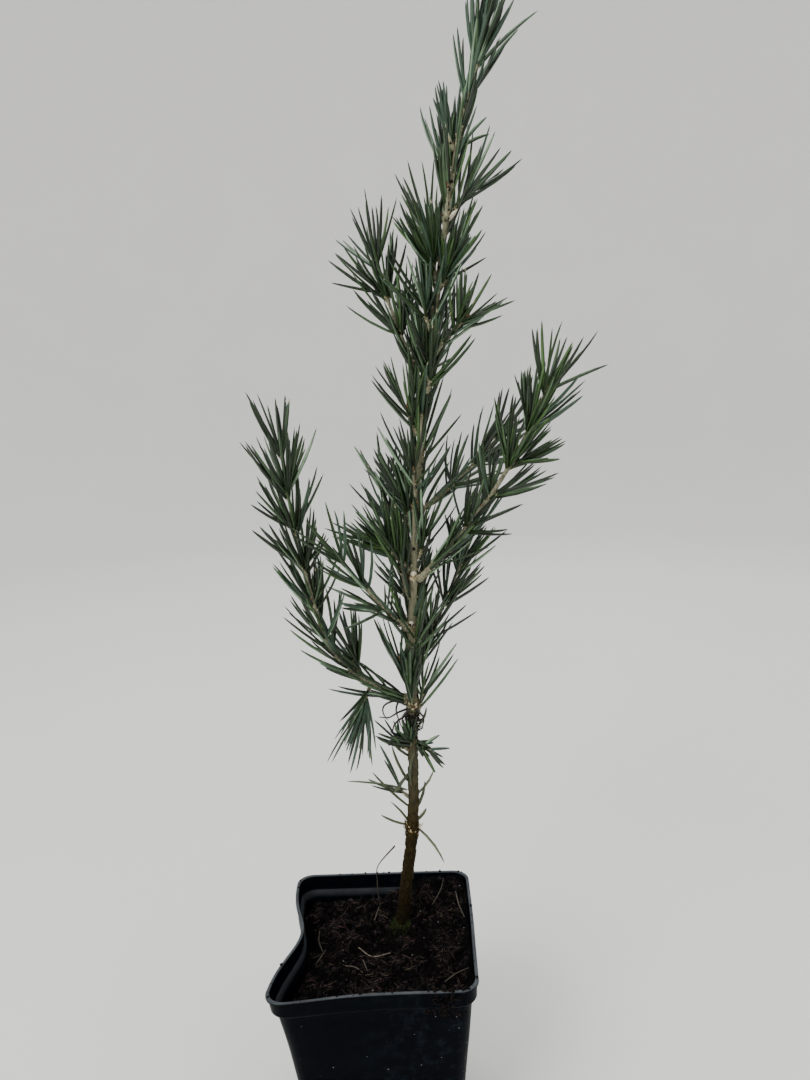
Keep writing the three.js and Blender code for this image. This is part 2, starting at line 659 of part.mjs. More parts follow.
function makeTree() {
  const tree = new THREE.Group();
  const obstacles = [];
  const masses = [];

  const addLimb = (name, line, finish) => {
    obstacles.push(...limbPieces(name, line));
    tree.add(namedMesh(name, line.geometry, finish));
  };
  const addBough = (name, shoot, from, to, toRadius) => {
    const line = stretch(shoot, from, to, shoot.radius, toRadius);
    addLimb(name, { ...line, geometry: limbGeometry(line, BOUGH_SIDES) }, FINISHES.bough);
  };
  const addMass = (name, seat, shoot, from, to, radius) => {
    const line = stretch(shoot, from, to, radius, radius * STEM_TAPER);
    const pieces = limbPieces(name, line);
    if (!isClear(pieces, obstacles.filter((other) => other.node !== seat))) return false;
    obstacles.push(...pieces);
    const stem = toSolid(limbGeometry(line, STEM_SIDES));
    masses.push({
      name,
      shoot,
      from,
      to,
      stem,
      seed: masses.length + 1,
      needles: shoot.needles,
      reaching: shoot.reaching,
      spread: shoot.spread,
      lift: shoot.lift ?? NEEDLE_LIFT,
      needleScale: shoot.needleScale ?? 1,
    });
    return true;
  };
  const fromTrunk = (shoot) => {
    const start = trunkAt(shoot.height);
    const trunkDirection = trunkAt(shoot.height + STEP_LENGTH).sub(start).normalize();
    const placed = { ...shoot, start };
    return { placed, foot: footDistance(placed, trunkDirection, trunkRadius(shoot.height)) };
  };

  addLimb('trunk', makeTrunk(), FINISHES.trunk);

  SHOOTS.forEach((shoot) => {
    const { placed, foot } = fromTrunk(shoot);
    if (shoot.bare === 0) {
      addMass(shoot.name, 'trunk', placed, foot, shoot.length, shoot.radius);
      return;
    }
    const narrow = shoot.radius * BOUGH_TAPER;
    const bough = `${shoot.name}_bough`;
    addBough(bough, placed, foot, shoot.bare, narrow);
    addMass(shoot.name, bough, placed, shoot.bare + GAP, shoot.length, narrow);
  });

  const { placed: low, foot } = fromTrunk(LOW_LEFT);
  addBough('low_left_bough', low, foot, low.length, LOW_LEFT_TOP.radius);
  const top = { ...LOW_LEFT_TOP, start: placeAlong(low, low.length + 2 * GAP) };
  addMass('low_left', 'low_left_bough', top, 0, top.length, top.radius);
  ON_LOW_LEFT.forEach((tuft) => {
    const limbRadius = THREE.MathUtils.lerp(low.radius, LOW_LEFT_TOP.radius, tuft.share);
    const placed = { ...tuft, start: placeAlong(low, low.length * tuft.share) };
    const tuftFoot = footDistance(placed, directionAt(low, tuft.share), limbRadius);
    addMass(tuft.name, 'low_left_bough', placed, tuftFoot, tuft.length, tuft.radius);
  });

  const tip = { ...LEADER, start: TRUNK_LINE.getPoint(1).addScaledVector(directionAt(LEADER, 0), 2 * GAP) };
  addMass('leader_tip', 'trunk', tip, 0, tip.length, tip.radius);

  SPRIGS.forEach((sprig) => {
    const { placed, foot: sprigFoot } = fromTrunk(sprig);
    addMass(sprig.name, 'trunk', placed, sprigFoot, sprigFoot + sprig.length, sprig.radius);
  });

  for (let count = 0; count < TUFT_COUNT; count += 1) {
    const height = THREE.MathUtils.lerp(TUFT_FROM, TUFT_TO, count / (TUFT_COUNT - 1));
    const name = `tuft_${String(count + 1).padStart(2, '0')}`;
    const onLeader = height > LEADER_HEIGHT
      ? { spread: LEADER_SPREAD, needleScale: LEADER_NEEDLE_SCALE }
      : {};
    for (let attempt = 0; attempt < NEEDLE_TRIES; attempt += 1) {
      const azimuth = TUFT_START_ANGLE + count * GOLDEN_ANGLE + attempt * TUFT_NUDGE_ANGLE;
      const { placed, foot: tuftFoot } = fromTrunk({ ...TUFT, height, azimuth, ...onLeader });
      placed.length = tuftFoot + TUFT_LENGTH;
      if (addMass(name, 'trunk', placed, tuftFoot, placed.length, TUFT.radius)) break;
    }
  }

  masses.forEach((mass) => {
    const needles = growNeedles(mass, obstacles);
    const joined = largestBody(wasm.Manifold.union([mass.stem, ...needles]));
    tree.add(namedMesh(mass.name, toGeometry(joined), FINISHES.needles));
  });
  return tree;
}

const cedar = new THREE.Group();
cedar.add(namedMesh('pot', makePot(), FINISHES.pot));
cedar.add(namedMesh('compost', makeCompost(), FINISHES.compost));
cedar.add(makeTree());

export default cedar;
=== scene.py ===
# Potted cedar of Lebanon: pot, compost, bark, twigs, needles and a plain stage, built round a fixed
# frame. Sizes are in millimetres until a mesh is made, +Z is up and -Y is the front.

import functools
import math

import bpy
import numpy as np
from mathutils import Euler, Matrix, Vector, noise


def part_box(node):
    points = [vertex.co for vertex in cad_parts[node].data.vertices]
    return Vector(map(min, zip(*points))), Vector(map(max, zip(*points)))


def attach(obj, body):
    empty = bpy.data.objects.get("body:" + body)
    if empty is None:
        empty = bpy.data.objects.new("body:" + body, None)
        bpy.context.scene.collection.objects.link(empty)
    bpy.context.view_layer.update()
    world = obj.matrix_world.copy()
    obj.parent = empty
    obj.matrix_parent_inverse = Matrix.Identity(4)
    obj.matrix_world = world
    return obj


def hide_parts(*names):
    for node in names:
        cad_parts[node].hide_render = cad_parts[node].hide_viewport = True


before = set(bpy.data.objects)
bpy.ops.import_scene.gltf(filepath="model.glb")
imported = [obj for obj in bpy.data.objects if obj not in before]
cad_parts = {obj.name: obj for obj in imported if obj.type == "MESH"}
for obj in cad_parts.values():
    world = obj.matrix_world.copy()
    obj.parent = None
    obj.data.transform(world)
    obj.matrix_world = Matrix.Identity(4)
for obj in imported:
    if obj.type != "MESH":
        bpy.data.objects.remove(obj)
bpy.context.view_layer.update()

bl_info = {
    "name": "Potted cedar of Lebanon",
    "version": (1, 0, 0),
    "blender": (4, 5, 0),
    "location": "View3D > Sidebar > Cedar",
    "description": "Builds a young cedar of Lebanon in a dented nursery pot",
    "category": "Object",
}

MM = 0.001
UP = np.array([0.0, 0.0, 1.0])
EAST = np.array([1.0, 0.0, 0.0])
GOLDEN_ANGLE = 137.5

# Pot, by the same rule as the solid
POT_WIDTH = 90
POT_DEPTH = 92
POT_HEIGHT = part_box("pot")[1].z / MM
POT_CORNER = 8
POT_BASE = 1.2
FOOT_INSET = 13
FOOT_ROUNDING = 1.4
BAND_FOOT = POT_HEIGHT - 8
BAND_STEP = 1.8
BAND_INSET = 0.7
BAND_TAPER = 0.4
LIP_HEIGHT = 1.1
LIP_WIDTH = 1.5
# How many rings of the profile lead over the lip, from its outer edge to the inside, whose lighter film is
# dust and a painted sheen
LIP_RINGS = 8
CORNER_STEPS = 9
SIDE_STEPS = 22
DENT_DEPTH = 7
DENT_CENTRE = -3
DENT_REACH = 19
DENT_POWER = 2.4
BULGE_X = -4
BULGE_Y = -4.4
BULGE_REACH = 26
PINCH_X = -2
PINCH_REACH = 40
HOLE_RADIUS = 3.5
HOLE_OFFSET = 21
HOLE_SIDES = 32
WAVE_LENGTH = 21
SCUFFED_FROM = -12
SCUFFED_FULL = 14

# Compost
GROUND = 90
SOIL_LEVEL = 91.8
SOIL_LIFT_X = 2.2
SOIL_LIFT_Y = 1.4
SOIL_LUMP = 0.6
SOIL_WAVES = {"x": 0.31, "y": 0.27, "slant_x": 0.13, "slant_y": 0.19}
SUNK_DEPTH = 1.6
SUNK_FROM_X = 22
SUNK_TO_X = -30
TROUGH_DEPTH = 5.5
TROUGH_WIDTH = 5.5
TROUGH_SLOPE_X = -0.9
TROUGH_SLOPE_Y = 0.45
TROUGH_START = 8
TROUGH_FULL = 20
LANDING_RADIUS = 6.5
LANDING_BLEND = 2.5
SOIL_RINGS = 90
SOIL_SIDE_STEPS = 84
# Size in mm and height in mm of each layer of lumps
LUMP_LAYERS = [(12, 1.8), (5.5, 2.2), (2.4, 1.4), (1, 0.5)]
# Middle, reach and depth of the hollow in front of the trunk's foot
HOLLOW = ((6, 8), 10, 3.2)
# Middle, reach and height of the places where the compost is heaped towards the rim
MOUNDS = [((34, 38), 20, 3.2), ((40, -22), 15, 2.0)]

# Places that the trunk's middle line passes through, from the flat cut to the tip
TRUNK_LINE = [
    (9.6, 17.5, GROUND),
    (13.5, 14, 120),
    (16.8, 11.5, 148),
    (17.9, 9.5, 190),
    (19, 8, 240),
    (22.6, 6.5, 300),
    (26.4, 5, 341),
    (31.6, 4, 374),
    (37.4, 4, 413),
    (44.8, 4, 455),
    (48.2, 4, 467),
]
LINE_SAMPLES = 80
RADIUS_HEIGHTS = [90, 185, 250, 300, 385, 443, 470]
RADII = [3.2, 2.4, 1.9, 1.5, 1.4, 1, 0.9]
# Height, swelling and reach of the scaly collar and of each whorl
COLLAR = (142, 0.6, 4)
WHORLS = [
    (207, 0.7, 3), (244, 0.5, 2.5), (268, 0.5, 2.5), (300, 0.4, 2.5), (352, 0.4, 2.5), (422, 0.4, 2),
]
OLD_WOOD_TOP = 185
YOUNG_WOOD_FOOT = 240
PALE_BARK_FROM = 405
# How deep the trunk goes on in the compost
BURIED = 3
# How thick the limbs are, as a share of the solids' thickness
VISUAL_GIRTH = 1.04
# Width, depth and height of the plates in the relief of the old bark, and the reach of a crack
PLATE_SIZE = (1.7, 1.7, 5.0)
CRACK_REACH = 0.3
# How many sides and how long a step the tubes of the wood have
TRUNK_SIDES = 44
TRUNK_STEP = 0.6
BOUGH_SIDES = 14
TWIG_SIDES = 9
LIMB_STEP = 0.9
# How much wider a limb is at its foot, as a share, and how far along it that reaches
LIMB_FOOT_SWELL = 0.4
LIMB_FOOT_REACH = 1.6

# Needles, by the same rule as the solids
NEEDLE_SHORT = 26
NEEDLE_LONG = 33
ROOT_MARGIN = 0.6
OPENING_FOOT = 54
OPENING_TIP = 36
OPENING_LEAST = 0.3
OPENING_CROWDING = 0.6
NEEDLE_CROWDING = 0.8
NEEDLE_LIFT = 0.22
NEEDLE_TRIES = 9
TURN_WHEN_BLOCKED = 40
STEM_TAPER = 0.6
BOUGH_TAPER = 0.85
WALK_STEPS = 16
CLEAR = 0.3
# How deep a limb's foot lies inside the wood that it stands on: at a side, and at the tip of a bough
DEEP_ROOT = 1.5
TIP_ROOT = 0.8


def shoot(name, height, azimuth, rise, length, bare, radius, needles, spread, turn=0, **more):
    """One shoot of the tree: angles in degrees, everything else in millimetres. More may be said of its
    needles: lift and scale, how many stand beside each other, and the one that reaches past them all."""
    return dict(
        name=name, height=height, azimuth=azimuth, rise=rise, length=length, bare=bare, radius=radius,
        needles=needles, spread=spread, turn=turn, **more,
    )


SHOOTS = [
    shoot("right", 265, 338, (41, 67), 105, 30, 1.35, 56, 1.15, turn=2, reaching=(12, 21, 30)),
    shoot("right_low", 219, 50, (53, 70), 74, 16, 1.15, 38, 1, turn=-47),
    shoot("right_inner", 297, 31, (27, 44), 56, 12, 1.0, 28, 1, turn=-4),
    shoot("right_mid", 364, 326, (44, 38), 25, 11, 0.9, 14, 1.2, scale=0.78),
    shoot("upper_left", 351, 146, (63, 71), 62, 16, 1.1, 38, 1.2, turn=-3),
    shoot("mid_left", 242, 217, (41, 54), 52, 13, 1.05, 28, 1, turn=-5, beside=1),
    shoot("back_low", 233, 95, (62, 75), 58, 13, 1.05, 28, 1),
    shoot("back_mid", 259, 117, (52, 70), 54, 13, 1.0, 26, 1),
    shoot("back_high", 333, 75, (60, 70), 46, 11, 0.95, 24, 0.9),
    shoot("left_spur", 269, 194, (51, 48), 19, 0, 0.9, 24, 1),
    shoot("left_spur_high", 294, 130, (52, 56), 14, 0, 0.85, 18, 1),
    shoot("front_tuft", 393, 256, (69, 36), 14, 0, 0.85, 20, 0.9, turn=-6, beside=2),
    shoot("right_tuft", 391, 311, (53, 44), 12, 0, 0.8, 14, 1, scale=0.72),
    shoot("top_right", 420, 29, (51, 50), 19, 0, 0.8, 18, 0.8),
    shoot("top_left", 432, 115, (73, 62), 14, 0, 0.75, 14, 0.5),
]
LOW_LEFT = shoot("low_left_bough", 210, 190, (17, 60), 51, 51, 1.3, 0, 1, turn=10)
LOW_LEFT_TOP = shoot("low_left", 0, 202, (74, 85), 86, 0, 0.95, 54, 1, turn=1)
# Share of the lowest left bough at which each of its own tufts stands, and the tuft
ON_LOW_LEFT = [
    (0.42, shoot("hanging", 0, 232, (-50, -66), 13, 0, 0.7, 12, 0.85, lift=-0.1, scale=0.95, beside=2)),
    (0.52, shoot("low_left_middle", 0, 150, (60, 72), 14, 0, 0.7, 9, 0.8, scale=0.8)),
    (0.82, shoot("low_left_inner", 0, 165, (62, 74), 22, 0, 0.75, 14, 1)),
]
LEADER = shoot("leader_tip", 467, 0, (72, 77), 32, 0, 0.85, 38, 0.55)
SPRIGS = [
    shoot("sprig_left", 183, 200, (35, 52), 7, 0, 0.7, 9, 1.1, scale=0.5),
    shoot("sprig_right", 186, 330, (12, -16), 7, 0, 0.7, 8, 1.1, lift=-0.3, scale=0.42),
    shoot("sprig_foot", 158, 165, (35, 45), 5, 0, 0.65, 4, 1, lift=0, scale=0.75),
]
# Short tufts round the trunk, closer to it above the foot of the leader
TUFT_FROM = 196
TUFT_TO = 447
TUFT_COUNT = 18
TUFT_LENGTH = 11
TUFT_RISE = (66, 78)
TUFT_RADIUS = 0.75
TUFT_NEEDLES = 11
TUFT_START_ANGLE = 20
LEADER_HEIGHT = 412
# Spread and length of a tuft's needles below the leader's foot and above it, as shares of the usual
TUFT_SPREADS = (0.9, 0.35)
TUFT_LENGTHS = (1, 0.85)
# Tufts whose needles are shorter than their neighbours'
TUFT_SCALES = {17: 0.6}

# How the fine needles differ from the solids' fewer and thicker ones
SPRAY_ROOT_REACH = 1.8
# Share of sprays that hold only one needle, at a shoot's foot and at its tip
SINGLE_SHARES = (0.55, 0.05)
SPRAY_TURN = 22
SPRAY_OPENING = 6
SHORTEST_IN_SPRAY = 0.8
# Needles gather round nodes this far apart, and are drawn to the nearest one by this share
NODE_SPACING = 17
GATHERING = 0.78
SPUR_NEEDLES = 5
SPUR_LENGTH = 3.5
SPUR_SCALE = 0.78
SPUR_OPENING = (6, 36)
SPUR_RADII = (0.55, 0.5, 0.42)
# Needles that leave trunk and boughs one by one, pressed along them, the trunk's from this height up
STEM_NEEDLES_FROM = 209
STEM_SPACING = 2.4
BOUGH_SPACING = 1.35
STEM_OPENING = (4, 26)
BOUGH_OPENING = (3, 22)
LEADER_OPENING = (3, 13)
# Heights between which the needles on the trunk close up to those of the leader
LEADER_CLOSES = (395, 430)
# Long needles that sheathe the trunk above its lowest whorl
SHEATH_TOP = 238
SHEATH_SPACING = 2.6
SHEATH_OPENING = (4, 15)
# How the names of the masses begin whose needles leave the stem one by one
THIN_MASSES = ("sprig", "top_", "back_", "tuft_0", "tuft_16", "tuft_17", "tuft_18")
# Share of sprays whose needles have a dry tip
DRY_SHARE = 0.06

# Shares of deep, fresh and glaucous sprays in the masses that differ from the rest
TINT_SHARES = {
    "front_tuft": (0.1, 0.72, 0.18),
    "right_tuft": (0.35, 0.5, 0.15),
    "left_spur": (0.2, 0.62, 0.18),
    "mid_left": (0.35, 0.3, 0.35),
    "upper_left": (0.4, 0.45, 0.15),
    "right_mid": (0.3, 0.5, 0.2),
    "right": (0.62, 0.3, 0.08),
    "leader_tip": (0.2, 0.05, 0.75),
    "top_right": (0.3, 0.25, 0.45),
    "top_left": (0.35, 0.05, 0.6),
    "tuft_18": (0.2, 0, 0.8),
    "tuft_17": (0.3, 0.1, 0.6),
    "low_left": (0.76, 0.12, 0.12),
    "hanging": (0.4, 0, 0.6),
}
USUAL_SHARES = (0.6, 0.2, 0.2)

# Lone needles on the bare lower trunk: root, tip and sideways bow of each, in millimetres
LONE_NEEDLES = [
    ((14.6, 10.8, 163.7), (-14.5, 9.0, 169.8), (0, 0, 1.2)),
    ((14.9, 11.4, 155.0), (-1.8, 6.0, 175.8), (-1, 0, 0)),
    ((15.4, 10.2, 168.0), (8.0, 4.5, 189.2), (-1, 0, 0)),
    ((14.4, 11.6, 145.5), (1.4, 6.2, 153.9), (0, 0, -1)),
    ((14.6, 11.6, 147.0), (6.4, 5.0, 161.0), (0.8, 0, 0)),
    ((19.0, 10.4, 161.5), (27.3, 5.0, 177.0), (1.6, 0, 0)),
    ((18.6, 11.0, 154.0), (23.0, 5.0, 171.0), (1.0, 0, 0)),
    ((19.4, 11.8, 143.0), (31.4, 9.0, 126.0), (1.0, 0, 1.0)),
    ((18.9, 11.5, 147.9), (23.4, 8.2, 155.5), (0.6, 0, 0)),
    ((19.8, 9.3, 195.1), (24.6, 5.6, 207.0), (1.2, 0, 0)),
    ((16.6, 9.6, 181.0), (8.6, 4.2, 190.4), (-1.0, 0, 0)),
    ((16.4, 7.4, 168.0), (18.6, 5.6, 186.0), (-1.2, 0, 0)),
    ((15.2, 9.0, 172.0), (7.6, 6.2, 163.6), (0, 0, 0.8)),
    ((15.2, 9.0, 173.0), (10.0, 5.4, 165.4), (0, 0, 0.8)),
]
# Height and half width of the gaps in the needles through which bare bark shows from the front
BARK_GAPS = [(246, 2.4), (269, 3.0), (284, 2.2), (318, 2.4), (331, 2.0), (425, 4.6), (441, 2.4)]
# Needles that reach past the leader: the kind of each, then its root, tip and bow
OUTER_NEEDLES = [
    (2, ((52.5, 4.0, 480.0), (78.0, 4.0, 501.4), (-0.8, 0, 1.0))),
    (2, ((52.0, 4.0, 474.0), (70.0, 3.0, 494.5), (-0.6, 0, 0.8))),
    (2, ((45.6, 4.0, 451.0), (56.6, 3.0, 461.5), (0, 0, 0.6))),
    (0, ((45.4, 4.0, 450.0), (57.4, 2.6, 454.5), (0, 0, 0.8))),
]
# Short fans of needles on the lower trunk: root, angle in the front view, spread, count and length
FANS = [
    ((17.0, 6.0, 190.0), 126, 62, 18, 13),
    ((19.4, 7.4, 188.5), -30, 38, 9, 9),
    ((15.2, 6.6, 210.5), 153, 9, 6, 25),
    ((17.6, 5.0, 211.5), 86, 15, 11, 27),
    ((18.6, 5.2, 220.0), 86, 13, 8, 21),
]
# Height, azimuth, rise, length and radius of the pale stubs where shoots have come away from the trunk
STUBS = [
    (420.5, 335, 42, 6.5, 1.15),
    (269, 268, 35, 2.2, 1.5),
    (246, 258, 35, 2.0, 1.3),
    (208, 262, 40, 1.8, 1.1),
]
# Height, angle and length of dark dormant buds on the trunk
DORMANT_BUDS = [
    (246, 250, 1.6), (281, 265, 2.2), (308, 262, 2.6), (350, 200, 1.8), (367, 262, 1.8), (388, 220, 1.9),
    (395, 290, 2.2), (402, 240, 1.6), (427, 262, 2.6), (433, 250, 2.4), (436, 280, 1.8), (470, 290, 1.8),
]
# Dead scales under the lowest whorl, and papery ones at the foot of each limb
DEAD_SCALES = 190
LIMB_SCALES = 7
# Upper limits of the chances for papery and rusty scales. What is left falls to old ones.
SCALE_KINDS = (0.5, 0.8)
# Old needles and bud stalks that curl under the lowest whorl
CURLS = [
    [(15.2, 8.2, 207.6), (9.6, 5.2, 210.4), (5.0, 4.0, 208.6), (4.6, 4.2, 205.2), (6.4, 5.0, 201.6)],
    [(15.8, 7.6, 205.6), (11.2, 4.6, 205.0), (7.2, 3.6, 203.2), (2.6, 3.4, 203.6)],
    [(12.6, 7.2, 211.4), (10.6, 5.0, 206.4), (12.6, 4.6, 198.4)],
    [(16.8, 6.4, 206.2), (13.4, 3.8, 202.6), (14.6, 4.0, 198.6), (17.4, 4.8, 196.8)],
    [(19.6, 6.6, 205.8), (23.2, 5.0, 202.0), (22.2, 5.0, 196.4)],
    [(16.0, 6.6, 203.6), (9.8, 4.4, 199.6), (8.4, 4.6, 195.0)],
]
CURL_RADIUS = 0.62

# Upper limits of the chances for peat and bark crumbs, and for dark and grey fibres. What is left falls
# to pale grit, and to pale fibres.
CRUMB_KINDS = (0.8, 0.99)
FIBRE_KINDS = (0.5, 0.92)
# Litter that lies on the compost: the places that each piece passes over, and its radius
STALKS = [
    ([(-11.0, -4.4), (-4.0, -12.0), (4.3, -10.4)], 0.27),
    ([(31.8, 40.0), (30.2, 33.0), (25.2, 21.5)], 0.24),
    ([(37.4, 27.5), (38.2, 19.0), (40.4, 9.0)], 0.3),
    ([(28.6, -32.0), (33.5, -28.6), (39.6, -26.4)], 0.26),
    ([(-16.6, -15.9), (-12.0, -17.0), (-8.1, -20.8)], 0.28),
    ([(-8.4, -14.0), (-6.0, -22.0)], 0.25),
    ([(-33.0, -1.7), (-29.1, -2.5)], 0.22),
    ([(-31.2, 12.3), (-30.8, 5.0), (-28.4, -1.6)], 0.24),
    ([(-26.9, -1.6), (-31.2, -9.0)], 0.22),
    ([(-2.0, 24.0), (-4.0, 16.0)], 0.28),
]
# The dry stalk that stands in the compost, from its foot to its bent tip
DRY_STALK = [
    (-1.1, 27.0, 91.0), (-1.8, 22.5, 101.0), (-2.0, 18.6, 112.0), (-1.4, 16.4, 121.0), (7.4, 14.2, 133.0),
]
# Moss: the middle, reach and count of its leaves
MOSS_PLACE = (9.0, 13.2)
MOSS_REACH = 4.6
MOSS_COUNT = 520
# Compost spilt over the front of the lip: its middle and reach, its count of crumbs, and how far they
# hang down
SPILL_X = 29
SPILL_REACH = 3.6
SPILL_COUNT = 110
SPILL_FALL = 11
# Crumbs on the lip, and specks and short hairs dried on the outer wall
LIP_CRUMBS = 46
WALL_SPECKS = 260
WALL_HAIRS = 16

# Camera: the photograph's place, pitch, roll and focal length for an 810 by 1080 image
CAMERA_PLACE = (17.2, -354.4, 343.2)
CAMERA_PITCH = 9.077
CAMERA_ROLL = 1.815
CAMERA_FOCAL_PIXELS = 812
IMAGE_HEIGHT_PIXELS = 1080
SENSOR = 36
# Where the lights point, in metres
LIGHT_TARGET = (0.02, 0, 0.24)
# The round floor: its sides, the rings of its flat part, the curve that turns up all round, and its
# upper edge
FLOOR_SIDES = 96
FLOOR_RADIUS = 1800
FLOOR_RINGS = (300, 900, FLOOR_RADIUS)
FLOOR_CURVE = 1400
FLOOR_TOP = 2600


def linear(colour):
    """The linear colour of an sRGB hex value"""
    shares = [int(colour[place:place + 2], 16) / 255 for place in (1, 3, 5)]
    return tuple(c / 12.92 if c <= 0.04045 else ((c + 0.055) / 1.055) ** 2.4 for c in shares) + (1.0,)


def colour_property(name, description, colour):
    return bpy.props.FloatVectorProperty(
        name=name, description=description, default=linear(colour), size=4, min=0, max=1, subtype="COLOR",
    )


def length_property(name, description, millimetres):
    return bpy.props.FloatProperty(
        name=name, description=description, default=millimetres * MM, min=0, subtype="DISTANCE",
        unit="LENGTH", precision=5,
    )


def power_property(name, description, watts):
    return bpy.props.FloatProperty(name=name, description=description, default=watts, min=0, unit="POWER")


class CedarPotSettings(bpy.types.PropertyGroup):
    """The nursery pot"""

    wall: length_property("Wall", "Thickness of the moulded wall", 0.9)
    waviness: length_property("Waviness", "How far the thin wall swells in and out", 0.22)
    plastic: colour_property("Plastic", "Colour of the clean plastic", "#030509")
    dust: colour_property("Dust", "Colour of the dried-on dust", "#0e151b")
    # Grey of the rubbed lip, lighter than the rubbing alone as a painted highlight; a darker share of it is
    # the inside's film of dust and painted sheen
    wear_and_highlight: colour_property("Worn edge", "Colour of the scuffed lip", "#505457")


class CedarCompostSettings(bpy.types.PropertyGroup):
    """The compost and what lies on it"""

    peat: colour_property("Peat", "Colour of the moist compost", "#070606")
    fibre: colour_property("Fibre", "Colour of the coir fibres", "#2b2322")
    straw: colour_property("Straw", "Colour of the dry stalks", "#655c4b")
    moss: colour_property("Moss", "Colour of the moss at the trunk's foot", "#2b3414")
    crumbs: bpy.props.IntProperty(name="Crumbs", description="Number of loose crumbs", default=3600, min=0)
    fibres: bpy.props.IntProperty(name="Fibres", description="Number of fine fibres", default=6200, min=0)


class CedarBarkSettings(bpy.types.PropertyGroup):
    """Bark of trunk, boughs and twigs"""

    relief: length_property("Relief", "Depth of the cracks in the old bark", 0.5)
    old: colour_property("Old bark", "Colour of the plates on the lower trunk", "#342a11")
    crack: colour_property("Cracks", "Colour in the cracks of the old bark", "#0d0903")
    young: colour_property("Young bark", "Colour of the bark on boughs and twigs", "#6f6e59")
    scale: colour_property("Bud scales", "Colour of the papery bud scales", "#cbb890")


class CedarNeedleSettings(bpy.types.PropertyGroup):
    """The needles"""

    width: length_property("Width", "Width of a needle at its middle", 1.68)
    per_spray: bpy.props.IntProperty(
        name="Needles in a spray", description="Needles that leave the stem side by side", default=2, min=1,
    )
    bow: bpy.props.FloatProperty(
        name="Bow", description="How far a needle bows outward, as a share of its length", default=0.03,
        min=0, max=0.3, subtype="FACTOR",
    )
    deep: colour_property("Deep", "Colour of the dark blue-green needles", "#17270f")
    fresh: colour_property("Fresh", "Colour of the younger green needles", "#1f3512")
    glaucous: colour_property("Glaucous", "Colour of the bloomed blue-grey needles", "#2f4533")


class CedarStageSettings(bpy.types.PropertyGroup):
    """Floor, light and camera"""

    floor: colour_property("Floor", "Colour of the floor", "#f3f1ed")
    sky: bpy.props.FloatProperty(name="Sky", description="Strength of the even light", default=1.0, min=0)
    key: power_property("Key light", "Power of the large light at the upper left", 22)
    fill: power_property("Fill light", "Power of the large light at the right", 5)
    rim: power_property("Rim light", "Power of the light above and behind", 8)


def random_stream(seed):
    """A repeatable stream of numbers from 0 to 1, the same as the solids use"""
    state = seed & 0xFFFFFFFF

    def multiply(one, other):
        return (one * other) & 0xFFFFFFFF

    def draw():
        nonlocal state
        state = (state + 0x6D2B79F5) & 0xFFFFFFFF
        mixed = multiply(state ^ (state >> 15), 1 | state)
        mixed = ((mixed + multiply(mixed ^ (mixed >> 7), 61 | mixed)) & 0xFFFFFFFF) ^ mixed
        return (mixed ^ (mixed >> 14)) / 4294967296

    return draw


def lerp(low, high, share):
    return low + (high - low) * share


def smoothstep(value, low, high):
    share = np.clip((value - low) / (high - low), 0, 1)
    return share * share * (3 - 2 * share)


def bell(distance, reach):
    return np.exp(-((distance / reach) ** 2))


def unit(vectors):
    return vectors / np.maximum(np.linalg.norm(vectors, axis=-1, keepdims=True), 1e-9)


def square_to(along, near=None):
    """A direction square to the one given"""
    if near is None:
        near = EAST if abs(along[2]) > 0.9 else UP
    return unit(near - along * float(np.dot(near, along)))


def level(angle):
    """The level direction at this angle"""
    return np.array([math.cos(angle), math.sin(angle), 0])


def sideways(along, angle):
    """The direction square to the one given, at this angle round it"""
    across = square_to(along)
    return across * math.cos(angle) + np.cross(along, across) * math.sin(angle)


def circle(angles, radius=1, height=0):
    """Places on a level circle at these angles"""
    heights = np.broadcast_to(height, np.shape(angles))
    return np.stack([np.cos(angles) * radius, np.sin(angles) * radius, heights], axis=-1)


def pick(limits, chance):
    """Which kind a chance from 0 to 1 falls to, by the upper limits of all kinds but the last"""
    return int(np.searchsorted(limits, chance, side="right"))


def even_angles(count):
    """Angles that go once round in this many equal steps"""
    return np.arange(count) / count * math.tau


def noise_at(points, size):
    """Smooth noise from -1 to 1 at each point, whose lumps are about this many millimetres wide"""
    scaled = np.asarray(points, float).reshape(-1, 3) / size
    values = np.array([noise.noise(place) for place in scaled.tolist()])
    return values.reshape(np.shape(points)[:-1])


def add_piece(name, points, faces, materials, slots=None, smooth=True, sharp=None):
    """A mesh object from points in millimetres, with one material slot number for each face"""
    mesh = bpy.data.meshes.new(name)
    mesh.from_pydata((np.asarray(points, float) * MM).tolist(), [], faces)
    for material in materials:
        mesh.materials.append(material)
    if slots is not None:
        mesh.polygons.foreach_set("material_index", np.asarray(slots, np.int32))
    mesh.polygons.foreach_set("use_smooth", np.full(len(mesh.polygons), smooth))
    if sharp is not None:
        mesh.set_sharp_from_angle(angle=math.radians(sharp))
    mesh.validate()
    mesh.update()
    piece = bpy.data.objects.new(name, mesh)
    bpy.context.scene.collection.objects.link(piece)
    return piece


def finish_piece(piece, slot, *nodes):
    """Rides the piece on the plant's only body and hides the solids it stands for. The finish it is given is
    not used.
    """
    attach(piece, "root")
    if nodes:
        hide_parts(*nodes)


def tube_faces(first, rings, sides):
    """Faces between rings of points that start at this index, then the two end fans' faces"""
    faces = []
    for ring in range(rings - 1):
        low = first + ring * sides
        for side in range(sides):
            following = (side + 1) % sides
            faces.append((low + side, low + following, low + sides + following, low + sides + side))
    foot = first + rings * sides
    top = first + (rings - 1) * sides
    for side in range(sides):
        following = (side + 1) % sides
        faces.append((foot, first + following, first + side))
        faces.append((foot + 1, top + side, top + following))
    return faces


